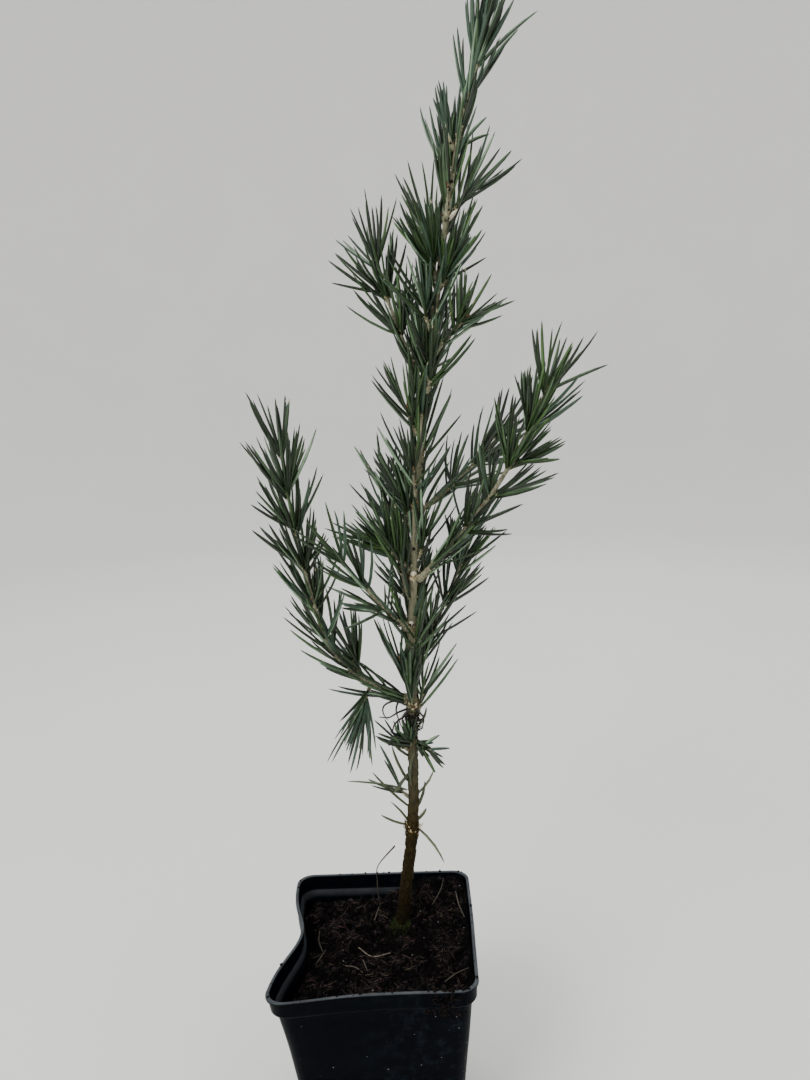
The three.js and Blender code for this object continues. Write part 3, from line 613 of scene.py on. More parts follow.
def tube(line, radii, sides, roughen=None):
    """Points of a tube along a line, each ring turned as little as it can be, then its two end points"""
    line = np.asarray(line, float)
    ahead = np.vstack([line[1:], line[-1:]])
    behind = np.vstack([line[:1], line[:-1]])
    along = unit(ahead - behind)
    across = square_to(along[0])
    angles = even_angles(sides)
    outward = []
    for direction in along:
        across = square_to(direction, across)
        other = np.cross(direction, across)
        outward.append(np.outer(np.cos(angles), across) + np.outer(np.sin(angles), other))
    outward = np.array(outward)
    radii = np.broadcast_to(np.asarray(radii, float), (len(line),))
    surface = line[:, None] + outward * radii[:, None, None]
    if roughen is not None:
        surface = surface + outward * roughen(surface)[..., None]
    return np.vstack([surface.reshape(-1, 3), line[:1], line[-1:]])


LEAF_FACES = [(0, 1, 4), (1, 2, 4), (2, 3, 4), (3, 0, 4), (1, 0, 5), (2, 1, 5), (3, 2, 5), (0, 3, 5)]


class Heap:
    """Collects the points and faces of many small shapes that become one mesh"""

    def __init__(self):
        self.points = []
        self.faces = []
        self.slots = []
        self.count = 0

    def add(self, points, faces, slot=0):
        """Adds a shape whose faces count its own points from 0"""
        first = self.count
        self.points.append(np.asarray(points, float))
        self.faces.extend(tuple(first + corner for corner in face) for face in faces)
        self.slots.extend([slot] * len(faces))
        self.count += len(points)

    def add_tube(self, line, radii, sides, slot=0, roughen=None):
        points = tube(line, radii, sides, roughen)
        self.faces.extend(tube_faces(self.count, len(line), sides))
        self.slots.extend([slot] * (len(self.faces) - len(self.slots)))
        self.points.append(points)
        self.count += len(points)

    def add_leaf(self, root, tip, side, half_width, thickness, slot):
        """A thin closed leaf: a kite from root to tip that is thickest along its middle"""
        middle = lerp(root, tip, 0.4)
        face = unit(np.cross(tip - root, side)) * thickness / 2
        edge = side * half_width
        self.add([root, middle + edge, tip, middle - edge, middle + face, middle - face], LEAF_FACES, slot)

    def piece(self, name, materials, smooth=True, sharp=None):
        return add_piece(name, np.vstack(self.points), self.faces, materials, self.slots, smooth, sharp)


def smooth_line(places, steps):
    """A centripetal spline through the places, with this many points from each to the next"""
    places = np.asarray(places, float)
    ends = np.vstack([2 * places[0] - places[1], places, 2 * places[-1] - places[-2]])
    shares = (np.arange(steps) / steps)[:, None]
    line = []
    for before, start, end, after in zip(ends, ends[1:], ends[2:], ends[3:]):
        first, second, third = (
            math.sqrt(np.linalg.norm(b - a)) for a, b in ((before, start), (start, end), (end, after)))
        leave = (start - before) / first - (end - before) / (first + second) + (end - start) / second
        arrive = (end - start) / second - (after - start) / (second + third) + (after - end) / third
        leave = leave * second
        arrive = arrive * second
        square = 3 * (end - start) - 2 * leave - arrive
        cube = 2 * (start - end) + leave + arrive
        line.append(start + leave * shares + square * shares ** 2 + cube * shares ** 3)
    line.append(places[-1:])
    return np.vstack(line)


TRUNK_SAMPLES = smooth_line(TRUNK_LINE, LINE_SAMPLES)


def trunk_at(height):
    """The trunk's middle at one height or at each of several"""
    places = [np.interp(height, TRUNK_SAMPLES[:, 2], TRUNK_SAMPLES[:, axis]) for axis in range(3)]
    return np.stack(places, axis=-1)


def trunk_radius(height):
    radius = np.interp(height, RADIUS_HEIGHTS, RADII)
    for middle, swell, reach in [COLLAR, *WHORLS]:
        radius = radius + swell * bell(height - middle, reach)
    return radius


# Materials

# Numbers of the two colour sockets of a node that mixes colours
MIX_FIRST = 6
MIX_SECOND = 7


def add_node(tree, kind, values=None, links=None, **settings):
    """Adds a node, with values and links for its sockets by name or number, and its own settings. A
    link comes from a socket, or from the first output that a node has in use."""
    node = tree.nodes.new(kind)
    for name, value in settings.items():
        setattr(node, name, value)
    for socket, value in (values or {}).items():
        node.inputs[socket].default_value = value
    for socket, source in (links or {}).items():
        if isinstance(source, bpy.types.Node):
            source = next(output for output in source.outputs if output.enabled)
        tree.links.new(source, node.inputs[socket])
    return node


def new_material(name):
    """An empty material, what adds nodes to it, and the coordinates that its patterns use"""
    material = bpy.data.materials.new(name)
    material.use_nodes = True
    material.node_tree.nodes.clear()
    add = functools.partial(add_node, material.node_tree)
    return material, add, add("ShaderNodeTexCoord").outputs["Object"]


def per_metre(millimetres):
    """The scale of a pattern whose features are this many millimetres wide"""
    return 1 / (millimetres * MM)


def finish_material(add, values, links):
    shader = add("ShaderNodeBsdfPrincipled", values, links)
    add("ShaderNodeOutputMaterial", links={"Surface": shader})


def shade(colour, factor):
    """A linear colour made darker or lighter by a factor"""
    return tuple(min(1.0, channel * factor) for channel in tuple(colour)[:3]) + (1.0,)


def shades(colour, low, high):
    """Two shades of one colour, for a finish that wanders between them"""
    return shade(colour, low), shade(colour, high)


def moulded_polypropylene(settings, name, dust, rim_dust_and_sheen):
    """Recycled black polypropylene, injection moulded: a soft bluish gloss, dulled by dried dust, with
    faint grey scuffs on its right side and a lighter grey edge on top of the lip, partly rubbed where it
    has been handled and partly a painted highlight. Dust lies thickest on the band below the rim; inside
    the pot that film is lighter, as dust and a painted sheen."""
    material, add, place = new_material(name)
    apart = add("ShaderNodeSeparateXYZ", links={"Vector": place})
    # Dust lies in clouds 16 mm wide. Its grit of 1.1 mm is drawn coarser than the real one, to show.
    clouds = add(
        "ShaderNodeTexNoise", {"Scale": per_metre(16), "Detail": 6.0, "Roughness": 0.65}, {"Vector": place})
    grain = add(
        "ShaderNodeTexNoise", {"Scale": per_metre(1.1), "Detail": 4.0, "Roughness": 0.7}, {"Vector": place})
    dusty = add(
        "ShaderNodeMapRange", {"From Min": 0.5, "From Max": 0.8, "To Max": 0.35}, {"Value": clouds})
    speckled = add(
        "ShaderNodeMapRange", {"From Min": 0.6, "From Max": 0.78, "To Max": 0.6}, {"Value": grain})
    # The film on the rim band: dust outside, and dust with a painted sheen on the inside of the pot
    rim = add(
        "ShaderNodeMapRange",
        {"From Min": (BAND_FOOT - 3) * MM, "From Max": BAND_FOOT * MM, "To Max": rim_dust_and_sheen},
        {"Value": apart.outputs["Z"]})
    on_rim = add("ShaderNodeMath", links={0: rim, 1: clouds}, operation="MULTIPLY")
    patches = add("ShaderNodeMath", links={0: dusty, 1: speckled}, operation="MAXIMUM")
    film = add("ShaderNodeMath", links={0: patches, 1: on_rim}, operation="MAXIMUM")
    body = add(
        "ShaderNodeMix", {MIX_FIRST: settings.plastic, MIX_SECOND: dust}, {"Factor": film},
        data_type="RGBA")
    smears = add(
        "ShaderNodeTexNoise", {"Scale": per_metre(5), "Detail": 6.0, "Roughness": 0.7, "Distortion": 0.3},
        {"Vector": place})
    smeared = add(
        "ShaderNodeMapRange", {"From Min": 0.5, "From Max": 0.78, "To Max": 0.6}, {"Value": smears})
    handled_side = add(
        "ShaderNodeMapRange",
        {"From Min": SCUFFED_FROM * MM, "From Max": SCUFFED_FULL * MM, "To Min": 0.12, "To Max": 1.0},
        {"Value": apart.outputs["X"]})
    scuffs = add("ShaderNodeMath", links={0: smeared, 1: handled_side}, operation="MULTIPLY")
    scuffed = add(
        "ShaderNodeMix", {MIX_SECOND: shade(settings.dust, 2.8)}, {"Factor": scuffs, MIX_FIRST: body},
        data_type="RGBA")
    # Painted highlight: the top of the lip turns a lighter grey in clouds, partly rubbed by handling and
    # partly standing for light on its edge
    near_lip = add(
        "ShaderNodeMapRange",
        {"From Min": (POT_HEIGHT - 0.55) * MM, "From Max": (POT_HEIGHT - 0.05) * MM, "To Max": 1.5},
        {"Value": apart.outputs["Z"]})
    lip_wear_and_highlight = add("ShaderNodeMath", links={0: near_lip, 1: clouds}, operation="MULTIPLY")
    colour = add(
        "ShaderNodeMix", {MIX_SECOND: settings.wear_and_highlight}, {"Factor": lip_wear_and_highlight, MIX_FIRST: scuffed},
        data_type="RGBA")
    rough = add("ShaderNodeMapRange", {"To Min": 0.34, "To Max": 0.72}, {"Value": film})
    bump = add("ShaderNodeBump", {"Strength": 0.25, "Distance": 0.1 * MM}, {"Height": grain})
    finish_material(
        add, {"IOR": 1.49, "Specular IOR Level": 0.02},
        {"Base Color": colour, "Roughness": rough, "Normal": bump})
    return material


def mottled(name, colours, size, roughness, bump=0.0, gloss=0.5, stretch=(1, 1, 1)):
    """A finish whose colour wanders between two near shades, with a fine relief of the same grain"""
    material, add, place = new_material(name)
    longer = add("ShaderNodeMapping", {"Scale": stretch}, {"Vector": place})
    grain = add(
        "ShaderNodeTexNoise", {"Scale": per_metre(size), "Detail": 5.0, "Roughness": 0.6},
        {"Vector": longer})
    spread = add("ShaderNodeMapRange", {"From Min": 0.35, "From Max": 0.65}, {"Value": grain})
    one, other = (linear(colour) if isinstance(colour, str) else colour for colour in colours)
    links = {
        "Base Color": add(
            "ShaderNodeMix", {MIX_FIRST: one, MIX_SECOND: other}, {"Factor": spread}, data_type="RGBA"),
    }
    if bump:
        links["Normal"] = add("ShaderNodeBump", {"Strength": 0.6, "Distance": bump * MM}, {"Height": grain})
    finish_material(add, {"Roughness": roughness, "Specular IOR Level": gloss}, links)
    return material


def fissured_bark(settings):
    """Corky outer bark in small upright plates: olive-brown plates with near-black cracks, darker towards
    the foot as painted shade, turning to a smoother buff skin and to a pale one near the tip."""
    material, add, place = new_material("fissured_bark")
    apart = add("ShaderNodeSeparateXYZ", links={"Vector": place})
    # The plates are 1.2 mm wide and about three times as tall
    longer = add("ShaderNodeMapping", {"Scale": (1, 1, 0.3)}, {"Vector": place})
    plates = add(
        "ShaderNodeTexVoronoi", {"Scale": per_metre(1.2)}, {"Vector": longer}, feature="DISTANCE_TO_EDGE")
    grain = add(
        "ShaderNodeTexNoise", {"Scale": per_metre(1.6), "Detail": 6.0, "Roughness": 0.7}, {"Vector": longer})
    tone = add("ShaderNodeMapRange", {"From Min": 0.3, "From Max": 0.7}, {"Value": grain})
    open_crack = add(
        "ShaderNodeMapRange", {"From Max": 0.16, "To Min": 0.85, "To Max": 0.0}, {"Value": plates})
    plate, buff, pale = (
        add("ShaderNodeMix", {MIX_FIRST: one, MIX_SECOND: other}, {"Factor": tone}, data_type="RGBA")
        for one, other in (
            shades(settings.old, 0.55, 1.35),
            shades(settings.young, 0.5, 1.8),
            shades(settings.young, 1, 2.4),
        )
    )
    old = add(
        "ShaderNodeMix", {MIX_SECOND: settings.crack}, {"Factor": open_crack, MIX_FIRST: plate},
        data_type="RGBA")
    # Painted shade: near the foot the bark is mixed three quarters of the way to the crack colour, and this
    # fades out by the collar
    colour = add(
        "ShaderNodeMix", {"Factor": 0.75, MIX_SECOND: settings.crack}, {MIX_FIRST: old}, data_type="RGBA")
    # Each skin takes over from the one below it between two heights
    for low, high, skin in (
        (GROUND, COLLAR[0], old),
        (OLD_WOOD_TOP - 38, YOUNG_WOOD_FOOT + 20, buff),
        (PALE_BARK_FROM - 10, PALE_BARK_FROM + 30, pale),
    ):
        limits = {"From Min": low * MM, "From Max": high * MM}
        share = add("ShaderNodeMapRange", limits, {"Value": apart.outputs["Z"]})
        links = {"Factor": share, MIX_FIRST: colour, MIX_SECOND: skin}
        colour = add("ShaderNodeMix", links=links, data_type="RGBA")
    bump = add("ShaderNodeBump", {"Strength": 0.7, "Distance": 0.2 * MM}, {"Height": grain})
    finish_material(
        add, {"Roughness": 0.86, "Specular IOR Level": 0.12}, {"Base Color": colour, "Normal": bump})
    return material


def needle_material(name, colour, bloom=0.0):
    """A living needle with its wax: a satin skin, deep in colour, with a paler dust of bloom. The bloom's
    patches are drawn 7 mm wide, coarser than the real ones, to show."""
    return mottled(name, shades(colour, 0.65, 1.35 + bloom), 7, 0.43, gloss=0.42, stretch=(1, 1, 0.5))


# Pot


def pot_ring(inset, height, side_steps=SIDE_STEPS):
    """One level ring of the pot, this far in from the lip"""
    half_x = POT_WIDTH / 2 - inset
    half_y = POT_DEPTH / 2 - inset
    corner = POT_CORNER - inset / 4
    centres = [(1, -1), (1, 1), (-1, 1), (-1, -1)]
    ring = []
    for quarter, (sign_x, sign_y) in enumerate(centres):
        centre = np.array([sign_x * (half_x - corner), sign_y * (half_y - corner)])
        for step in range(CORNER_STEPS + 1):
            angle = (quarter - 1 + step / CORNER_STEPS) * math.pi / 2
            ring.append(centre + corner * level(angle)[:2])
        next_x, next_y = centres[(quarter + 1) % 4]
        outward = level(quarter * math.pi / 2)[:2]
        start = ring[-1]
        end = np.array([next_x * (half_x - corner), next_y * (half_y - corner)]) + outward * corner
        ring.extend(lerp(start, end, step / side_steps) for step in range(1, side_steps))
    return pressed(np.array(ring), half_x, half_y, height)


def pressed(places, half_x, half_y, height):
    """The dent in the left wall, the front left corner pushed out and the front right one pinched in"""
    growth = (max(height, 0) / POT_HEIGHT) ** DENT_POWER
    x, y = places.T
    near_left = np.clip(-2 * x / half_x - 1, 0, 1)
    dent = DENT_DEPTH * near_left * bell(y - DENT_CENTRE, DENT_REACH)
    bulge = bell(np.hypot(x + half_x, y + half_y), BULGE_REACH)
    pinch = bell(np.hypot(x - half_x, y + half_y), PINCH_REACH)
    return np.column_stack([
        x + growth * (dent + BULGE_X * bulge + PINCH_X * pinch),
        y + growth * BULGE_Y * bulge,
        np.full(len(x), float(height)),
    ])


def wall_inset(height):
    """How far in from the lip the outer face of the plain wall lies, below the rim band"""
    return lerp(FOOT_INSET, BAND_INSET + BAND_TAPER + BAND_STEP, height / BAND_FOOT)


def inner_inset(height, wall):
    """How far in from the lip the inner face lies, which steps out over a ledge at the band's foot"""
    wall_top = BAND_FOOT - BAND_STEP
    heights = [POT_BASE, wall_top + wall / 2, BAND_FOOT + wall / 2, POT_HEIGHT]
    insets = [
        wall_inset(POT_BASE) + wall, wall_inset(wall_top) + wall, BAND_INSET + BAND_TAPER + wall, LIP_WIDTH]
    return float(np.interp(height, heights, insets))


def rounded(corner, before, after, radius, steps=4):
    """Points of a profile that rounds a corner between its two neighbours"""
    corner, before, after = (np.array(point, float) for point in (corner, before, after))
    start = corner + unit(before - corner) * radius
    end = corner + unit(after - corner) * radius
    shares = np.linspace(0, 1, steps + 1)[:, None]
    return (start * (1 - shares) ** 2 + corner * 2 * shares * (1 - shares) + end * shares ** 2).tolist()


def pot_profile(wall):
    """Inset and height of each ring of the pot, from the foot up outside and down again inside"""
    wall_top = BAND_FOOT - BAND_STEP
    band = BAND_INSET + BAND_TAPER
    lip_foot = POT_HEIGHT - LIP_HEIGHT
    corners = [
        (FOOT_INSET + 6, 0),
        (wall_inset(0), 0),
        (wall_inset(wall_top), wall_top),
        (band, BAND_FOOT),
        (BAND_INSET, lip_foot),
        (0, lip_foot),
        (0, POT_HEIGHT),
        (LIP_WIDTH, POT_HEIGHT),
        (band + wall, BAND_FOOT + wall / 2),
        (wall_inset(wall_top) + wall, wall_top + wall / 2),
        (wall_inset(POT_BASE) + wall, POT_BASE),
        (FOOT_INSET + 6, POT_BASE),
    ]
    # How far each of the corners is rounded
    radii = [0, FOOT_ROUNDING, 0.35, 0.7, 0.25, 0.2, 0.45, 0.45, 1.2, 1.2, 2.5, 0]
    profile = [corners[0]]
    for index in range(1, len(corners) - 1):
        profile.extend(rounded(corners[index], corners[index - 1], corners[index + 1], radii[index]))
        start = np.array(profile[-1])
        end = np.array(corners[index + 1])
        extra = int(np.linalg.norm(end - start) / 4)
        profile.extend(lerp(start, end, step / (extra + 1)).tolist() for step in range(1, extra))
    profile.append(corners[-1])
    return profile


def shell_piece(name, rings, materials, sharp=None, second_from=None):
    """A closed skin over a row of rings with flat ends, in its second finish from one ring onwards"""
    count = len(rings[0])
    centres = [ring.mean(axis=0) for ring in (rings[0], rings[-1])]
    points = np.vstack([*rings, *centres])
    faces = tube_faces(0, len(rings), count)
    slots = None
    if second_from is not None:
        slots = [int(min(face) >= second_from * count) for face in faces]
    return add_piece(name, points, faces, materials, slots, sharp=sharp)


def wavy(rings, amount):
    """Thin walls swell in and out a little, and less towards the flat foot"""
    points = np.array(rings)
    outward = points.copy()
    outward[..., 2] = 0
    swell = noise_at(points, WAVE_LENGTH) * amount * smoothstep(points[..., 2], 4, 40)
    return points + unit(outward) * swell[..., None]


def cut_drain_holes(pot):
    """Cuts the four round drain holes through the floor"""
    edge = circle(even_angles(HOLE_SIDES), HOLE_RADIUS)
    cutters = Heap()
    for sign_x, sign_y in ((1, 1), (-1, 1), (-1, -1), (1, -1)):
        hole = edge + (sign_x * HOLE_OFFSET, sign_y * HOLE_OFFSET, 0)
        rings = [hole - UP * POT_BASE, hole + UP * 2 * POT_BASE]
        points = np.vstack([*rings, rings[0].mean(axis=0), rings[1].mean(axis=0)])
        cutters.add(points, tube_faces(0, 2, HOLE_SIDES))
    cutter = cutters.piece("drain_hole_cutters", [])
    cut = pot.modifiers.new("drain_holes", "BOOLEAN")
    cut.operation = "DIFFERENCE"
    cut.solver = "EXACT"
    cut.object = cutter
    with bpy.context.temp_override(object=pot, active_object=pot, selected_objects=[pot]):
        bpy.ops.object.modifier_apply(modifier=cut.name)
    bpy.data.objects.remove(cutter)


def make_pot(settings):
    profile = pot_profile(settings.wall / MM)
    rings = wavy([pot_ring(inset, height) for inset, height in profile], settings.waviness / MM)
    inside_from = [height for _, height in profile].index(POT_HEIGHT) + LIP_RINGS
    # The outside is nearly clean, and the inside of the rim has a lighter grey film, of dust and a painted
    # sheen
    plastics = [
        moulded_polypropylene(settings, "moulded_polypropylene", settings.dust, 0.12),
        moulded_polypropylene(settings, "dust_and_sheen_polypropylene", shade(settings.wear_and_highlight, 0.42), 1.5),
    ]
    pot = shell_piece("nursery_pot", list(rings), plastics, sharp=40, second_from=inside_from)
    cut_drain_holes(pot)
    finish_piece(pot, "pot_plastic", "pot")


# Compost


def soil_height(x, y):
    """Height of the compost: flat at the trunk, sunk to the left, higher at the back right"""
    foot_x, foot_y, _ = TRUNK_LINE[0]
    slope = SOIL_LIFT_X * x / (POT_WIDTH / 2) + SOIL_LIFT_Y * y / (POT_DEPTH / 2)
    square = np.sin(x * SOIL_WAVES["x"] + 1) * np.cos(y * SOIL_WAVES["y"])
    slant = np.sin(x * SOIL_WAVES["slant_x"] - y * SOIL_WAVES["slant_y"])
    sunk = SUNK_DEPTH * smoothstep(-x, -SUNK_FROM_X, -SUNK_TO_X)
    away = np.hypot(x - foot_x, y - foot_y)
    blend = smoothstep(away, LANDING_RADIUS, LANDING_RADIUS * LANDING_BLEND)
    return lerp(GROUND, SOIL_LEVEL + slope + SOIL_LUMP * (square + slant) - sunk, blend)


def trough_depth(x, y):
    """How far the compost falls away at the wall, along the left and the back left"""
    towards = TROUGH_SLOPE_X * x + TROUGH_SLOPE_Y * y
    return TROUGH_DEPTH * smoothstep(towards, TROUGH_START, TROUGH_FULL)


def inward_distance(x, y, ring):
    """How far inside a closed ring each place lies, negative where it is outside"""
    place = np.stack([x, y], axis=-1)[..., None, :]
    start = ring[:, :2]
    step = np.roll(start, -1, axis=0) - start
    share = np.clip(((place - start) * step).sum(axis=-1) / (step ** 2).sum(axis=-1), 0, 1)
    distance = np.linalg.norm(place - start - share[..., None] * step, axis=-1).min(axis=-1)
    spans = (start[:, 1] > y[..., None]) != (start[:, 1] + step[:, 1] > y[..., None])
    rise = np.where(step[:, 1] == 0, 1, step[:, 1])
    crossing = start[:, 0] + (y[..., None] - start[:, 1]) * step[:, 0] / rise
    inside = (spans & (x[..., None] < crossing)).sum(axis=-1) % 2 == 1
    return np.where(inside, distance, -distance)


def mound_height(x, y):
    return sum(height * bell(np.hypot(x - at_x, y - at_y), reach) for (at_x, at_y), reach, height in MOUNDS)


def soil_relief(x, y):
    """How far the compost stands above its mean level: lumps, and the hollow in front of the trunk"""
    foot_x, foot_y, _ = TRUNK_LINE[0]
    flat = np.stack([x, y, np.zeros_like(x)], axis=-1)
    lumps = sum(noise_at(flat + 7 * layer, size) * rise for layer, (size, rise) in enumerate(LUMP_LAYERS))
    fade = 0.35 + 0.65 * smoothstep(np.hypot(x - foot_x, y - foot_y), 4, 12)
    (hollow_x, hollow_y), reach, depth = HOLLOW
    return lumps * fade - depth * bell(np.hypot(x - hollow_x, (y - hollow_y) * 1.4), reach)


def lumpy_height(x, y, wall_ring):
    """The compost's height with its lumps, and with the trough along the left wall"""
    trough = trough_depth(x, y) * bell(np.maximum(inward_distance(x, y, wall_ring), 0), TROUGH_WIDTH)
    return soil_height(x, y) + mound_height(x, y) + soil_relief(x, y) - trough


def make_wall_ring(wall):
    """The inner face at the level of the compost"""
    height = BAND_FOOT - BAND_STEP
    return pot_ring(inner_inset(height, wall), height)


def make_compost(settings, wall):
    wall_ring = make_wall_ring(wall)

    def ring_at(heights, gap):
        insets = [inner_inset(height, wall) + gap for height in heights]
        rows = {}
        for height, inset in zip(heights, insets):
            rows.setdefault(height, pot_ring(inset, height, SOIL_SIDE_STEPS))
        return np.array([rows[height][index] for index, height in enumerate(heights)])

    ledge_low = BAND_FOOT - BAND_STEP + wall / 2
    ledge_high = BAND_FOOT + wall / 2
    rim = pot_ring(inner_inset(ledge_high, wall), ledge_high, SOIL_SIDE_STEPS)
    x, y = rim[:, 0], rim[:, 1]
    tops = np.round(soil_height(x, y) + mound_height(x, y) - trough_depth(x, y), 1)
    low = np.minimum(ledge_low, tops - 0.3)
    rings = [ring_at(np.round(lerp(POT_BASE + CLEAR, low, step / 12), 1), 0.15) for step in range(13)]
    rings.append(ring_at(np.minimum(ledge_high, tops - 0.15), 0.15))
    edge = ring_at(tops, 0.12)
    rings.append(edge)
    foot = np.array(TRUNK_LINE[0], float)
    for step in range(1, SOIL_RINGS):
        ring = lerp(edge, foot, (step / SOIL_RINGS) ** 0.9)
        height = lumpy_height(ring[:, 0], ring[:, 1], wall_ring)
        ring[:, 2] = lerp(edge[:, 2], height, min(1, step / 3))
        rings.append(ring)
    # Damp peat: matt and near-black, with browner lumps
    peat = mottled("moist_peat_compost", shades(settings.peat, 0.5, 3), 1.5, 0.95, bump=0.6, gloss=0.05)
    compost = shell_piece("peat_compost", rings, [peat])
    finish_piece(compost, "compost", "compost")


def scatter(chance, count, wall_ring, margin):
    """Random places on the compost, at least this far from the wall, and their heights"""
    x = chance.uniform(-POT_WIDTH / 2, POT_WIDTH / 2, count * 2)
    y = chance.uniform(-POT_DEPTH / 2, POT_DEPTH / 2, count * 2)
    kept = inward_distance(x, y, wall_ring) > margin
    x, y = x[kept][:count], y[kept][:count]
    return x, y, lumpy_height(x, y, wall_ring)


CRUMB_SIDES = 5
CRUMB_FACES = tube_faces(0, 3, CRUMB_SIDES)


def crumb(chance, radius):
    """A small lump of three rings and two ends, with no corner like another"""
    levels = np.array([-0.55, 0.0, 0.55]) * chance.uniform(0.7, 1.2, 3)
    widths = np.array([0.75, 1.0, 0.7])
    angles = (np.arange(CRUMB_SIDES) + chance.random((3, 1))) / CRUMB_SIDES * math.tau
    reach = widths[:, None] * chance.uniform(0.7, 1.25, (3, CRUMB_SIDES))
    rings = circle(angles, reach, levels[:, None])
    ends = np.array([(0, 0, -0.8), (0, 0, chance.uniform(0.6, 0.95))])
    return np.vstack([rings.reshape(-1, 3), ends]) * radius


def make_crumbs(settings, wall):
    """Loose crumbs of peat, and a few grains of pale grit"""
    chance = np.random.default_rng(101)
    heap = Heap()
    for place in zip(*scatter(chance, settings.crumbs, make_wall_ring(wall), 0.6)):
        radius = lerp(0.22, 1.5, chance.random() ** 3.2)
        slot = pick(CRUMB_KINDS, chance.random())
        if slot == 2:
            radius = min(radius, 0.35)
        heap.add(crumb(chance, radius) + place + UP * radius * 0.2, CRUMB_FACES, slot)
    materials = [
        # Damp peat: matt and near-black
        mottled("peat_crumb", shades(settings.peat, 0.6, 4), 1.2, 0.95, gloss=0.06),
        # Composted bark: a warmer brown with a faint sheen
        mottled("bark_crumb", shades(settings.fibre, 0.25, 0.9), 1.2, 0.9, gloss=0.1),
        # Dry grit: pale grey grains that catch the light
        mottled("pale_grit", ("#77746c", "#b5b2aa"), 0.8, 0.7),
    ]
    finish_piece(heap.piece("compost_crumbs", materials, smooth=False), "compost")


def make_fibres(settings, wall):
    """Fine coir fibres that lie tangled on the compost, redder in some patches than in others, and
    near-black in the hollows as painted shade
    """
    chance = np.random.default_rng(202)
    wall_ring = make_wall_ring(wall)
    x, y, z = scatter(chance, settings.fibres, wall_ring, 1.0)
    patches = noise_at(np.column_stack([x, y, np.full(len(x), 50.0)]), 11)
    reliefs = soil_relief(x, y)
    heap = Heap()
    for place, patch, relief in zip(np.column_stack([x, y, z]), patches, reliefs):
        length = lerp(1.6, 9, chance.random() ** 2.2)
        shares = np.linspace(-0.5, 0.5, 5)
        angles = chance.uniform(0, math.tau) + chance.uniform(-0.8, 0.8) * shares
        flat = place[:2] + circle(angles, shares * length)[:, :2]
        if inward_distance(flat[:, 0], flat[:, 1], wall_ring).min() < 0.3:
            continue
        radius = lerp(0.06, 0.26, chance.random() ** 2.5)
        low = lumpy_height(flat[:, 0], flat[:, 1], wall_ring) + radius
        tilt = chance.uniform(-0.6, 0.6) * chance.random() * length * shares
        heights = np.maximum(low, place[2] + tilt + chance.uniform(0.1, 0.9))
        # Painted shade: a fibre that lies low in the relief mostly takes the near-black finish
        if relief < chance.uniform(-0.1, 0.5):
            slot = 0
        elif chance.random() < 0.6 * patch:
            slot = 3
        else:
            slot = pick(FIBRE_KINDS, chance.random())
        radii = radius * np.array([0.5, 1, 1, 0.9, 0.4])
        heap.add_tube(np.column_stack([flat, heights]), radii, 3, slot=slot)
    materials = [
        # Wet coir, and painted shade in the hollows: near-black threads that knit the surface together
        mottled("dark_coir_and_hollow_shade", shades(settings.fibre, 0.06, 0.35), 2, 0.85, gloss=0.05),
        # Dry coir: grey-brown threads that lie on top
        mottled("grey_coir", shades(settings.fibre, 0.7, 3), 2, 0.8, gloss=0.1),
        # Bleached coir: the few lightest threads
        mottled("pale_coir", shades(settings.straw, 0.25, 0.7), 2, 0.8, gloss=0.15),
        # Fresh coir: a reddish brown that shows in patches
        mottled("russet_coir", ("#241917", "#4a3630"), 2, 0.8, gloss=0.15),
    ]
    finish_piece(heap.piece("coir_fibres", materials), "compost")


def make_stalks(settings, wall):
    """Dry stalks on the compost, and the thin one that stands in it"""
    wall_ring = make_wall_ring(wall)
    heap = Heap()
    for number, (places, radius) in enumerate(STALKS):
        flat = smooth_line([(x, y, 0) for x, y in places], 10)
        heights = lumpy_height(flat[:, 0], flat[:, 1], wall_ring)
        shares = np.linspace(0, 1, len(flat))
        straight = np.polyval(np.polyfit(shares, heights, 1), shares)
        line = np.column_stack([flat[:, :2], straight + (heights - straight).max() * 0.8 + radius + 0.8])
        taper = 0.75 + 0.25 * np.sin(np.linspace(0.3, 2.9, len(line)))
        heap.add_tube(line, radius * taper, 6, slot=0 if number == 0 else 2)
    standing = smooth_line(DRY_STALK, 12)
    heap.add_tube(standing, np.interp(np.arange(len(standing)), [0, 36, 48], [0.3, 0.26, 0.5]), 6, slot=1)
    materials = [
        # Dry grass: pale, with a slight gloss
        mottled("dry_straw", shades(settings.straw, 0.5, 1.2), 1.5, 0.7),
        # Weathered stem: dull grey-brown
        mottled("dead_stem", ("#1f1d18", "#4b4233"), 3, 0.75),
        # Bits of twig: dull dark brown
        mottled("brown_twiglet", shades(settings.straw, 0.2, 0.6), 1.5, 0.75),
    ]
    finish_piece(heap.piece("dry_stalks", materials), "compost")


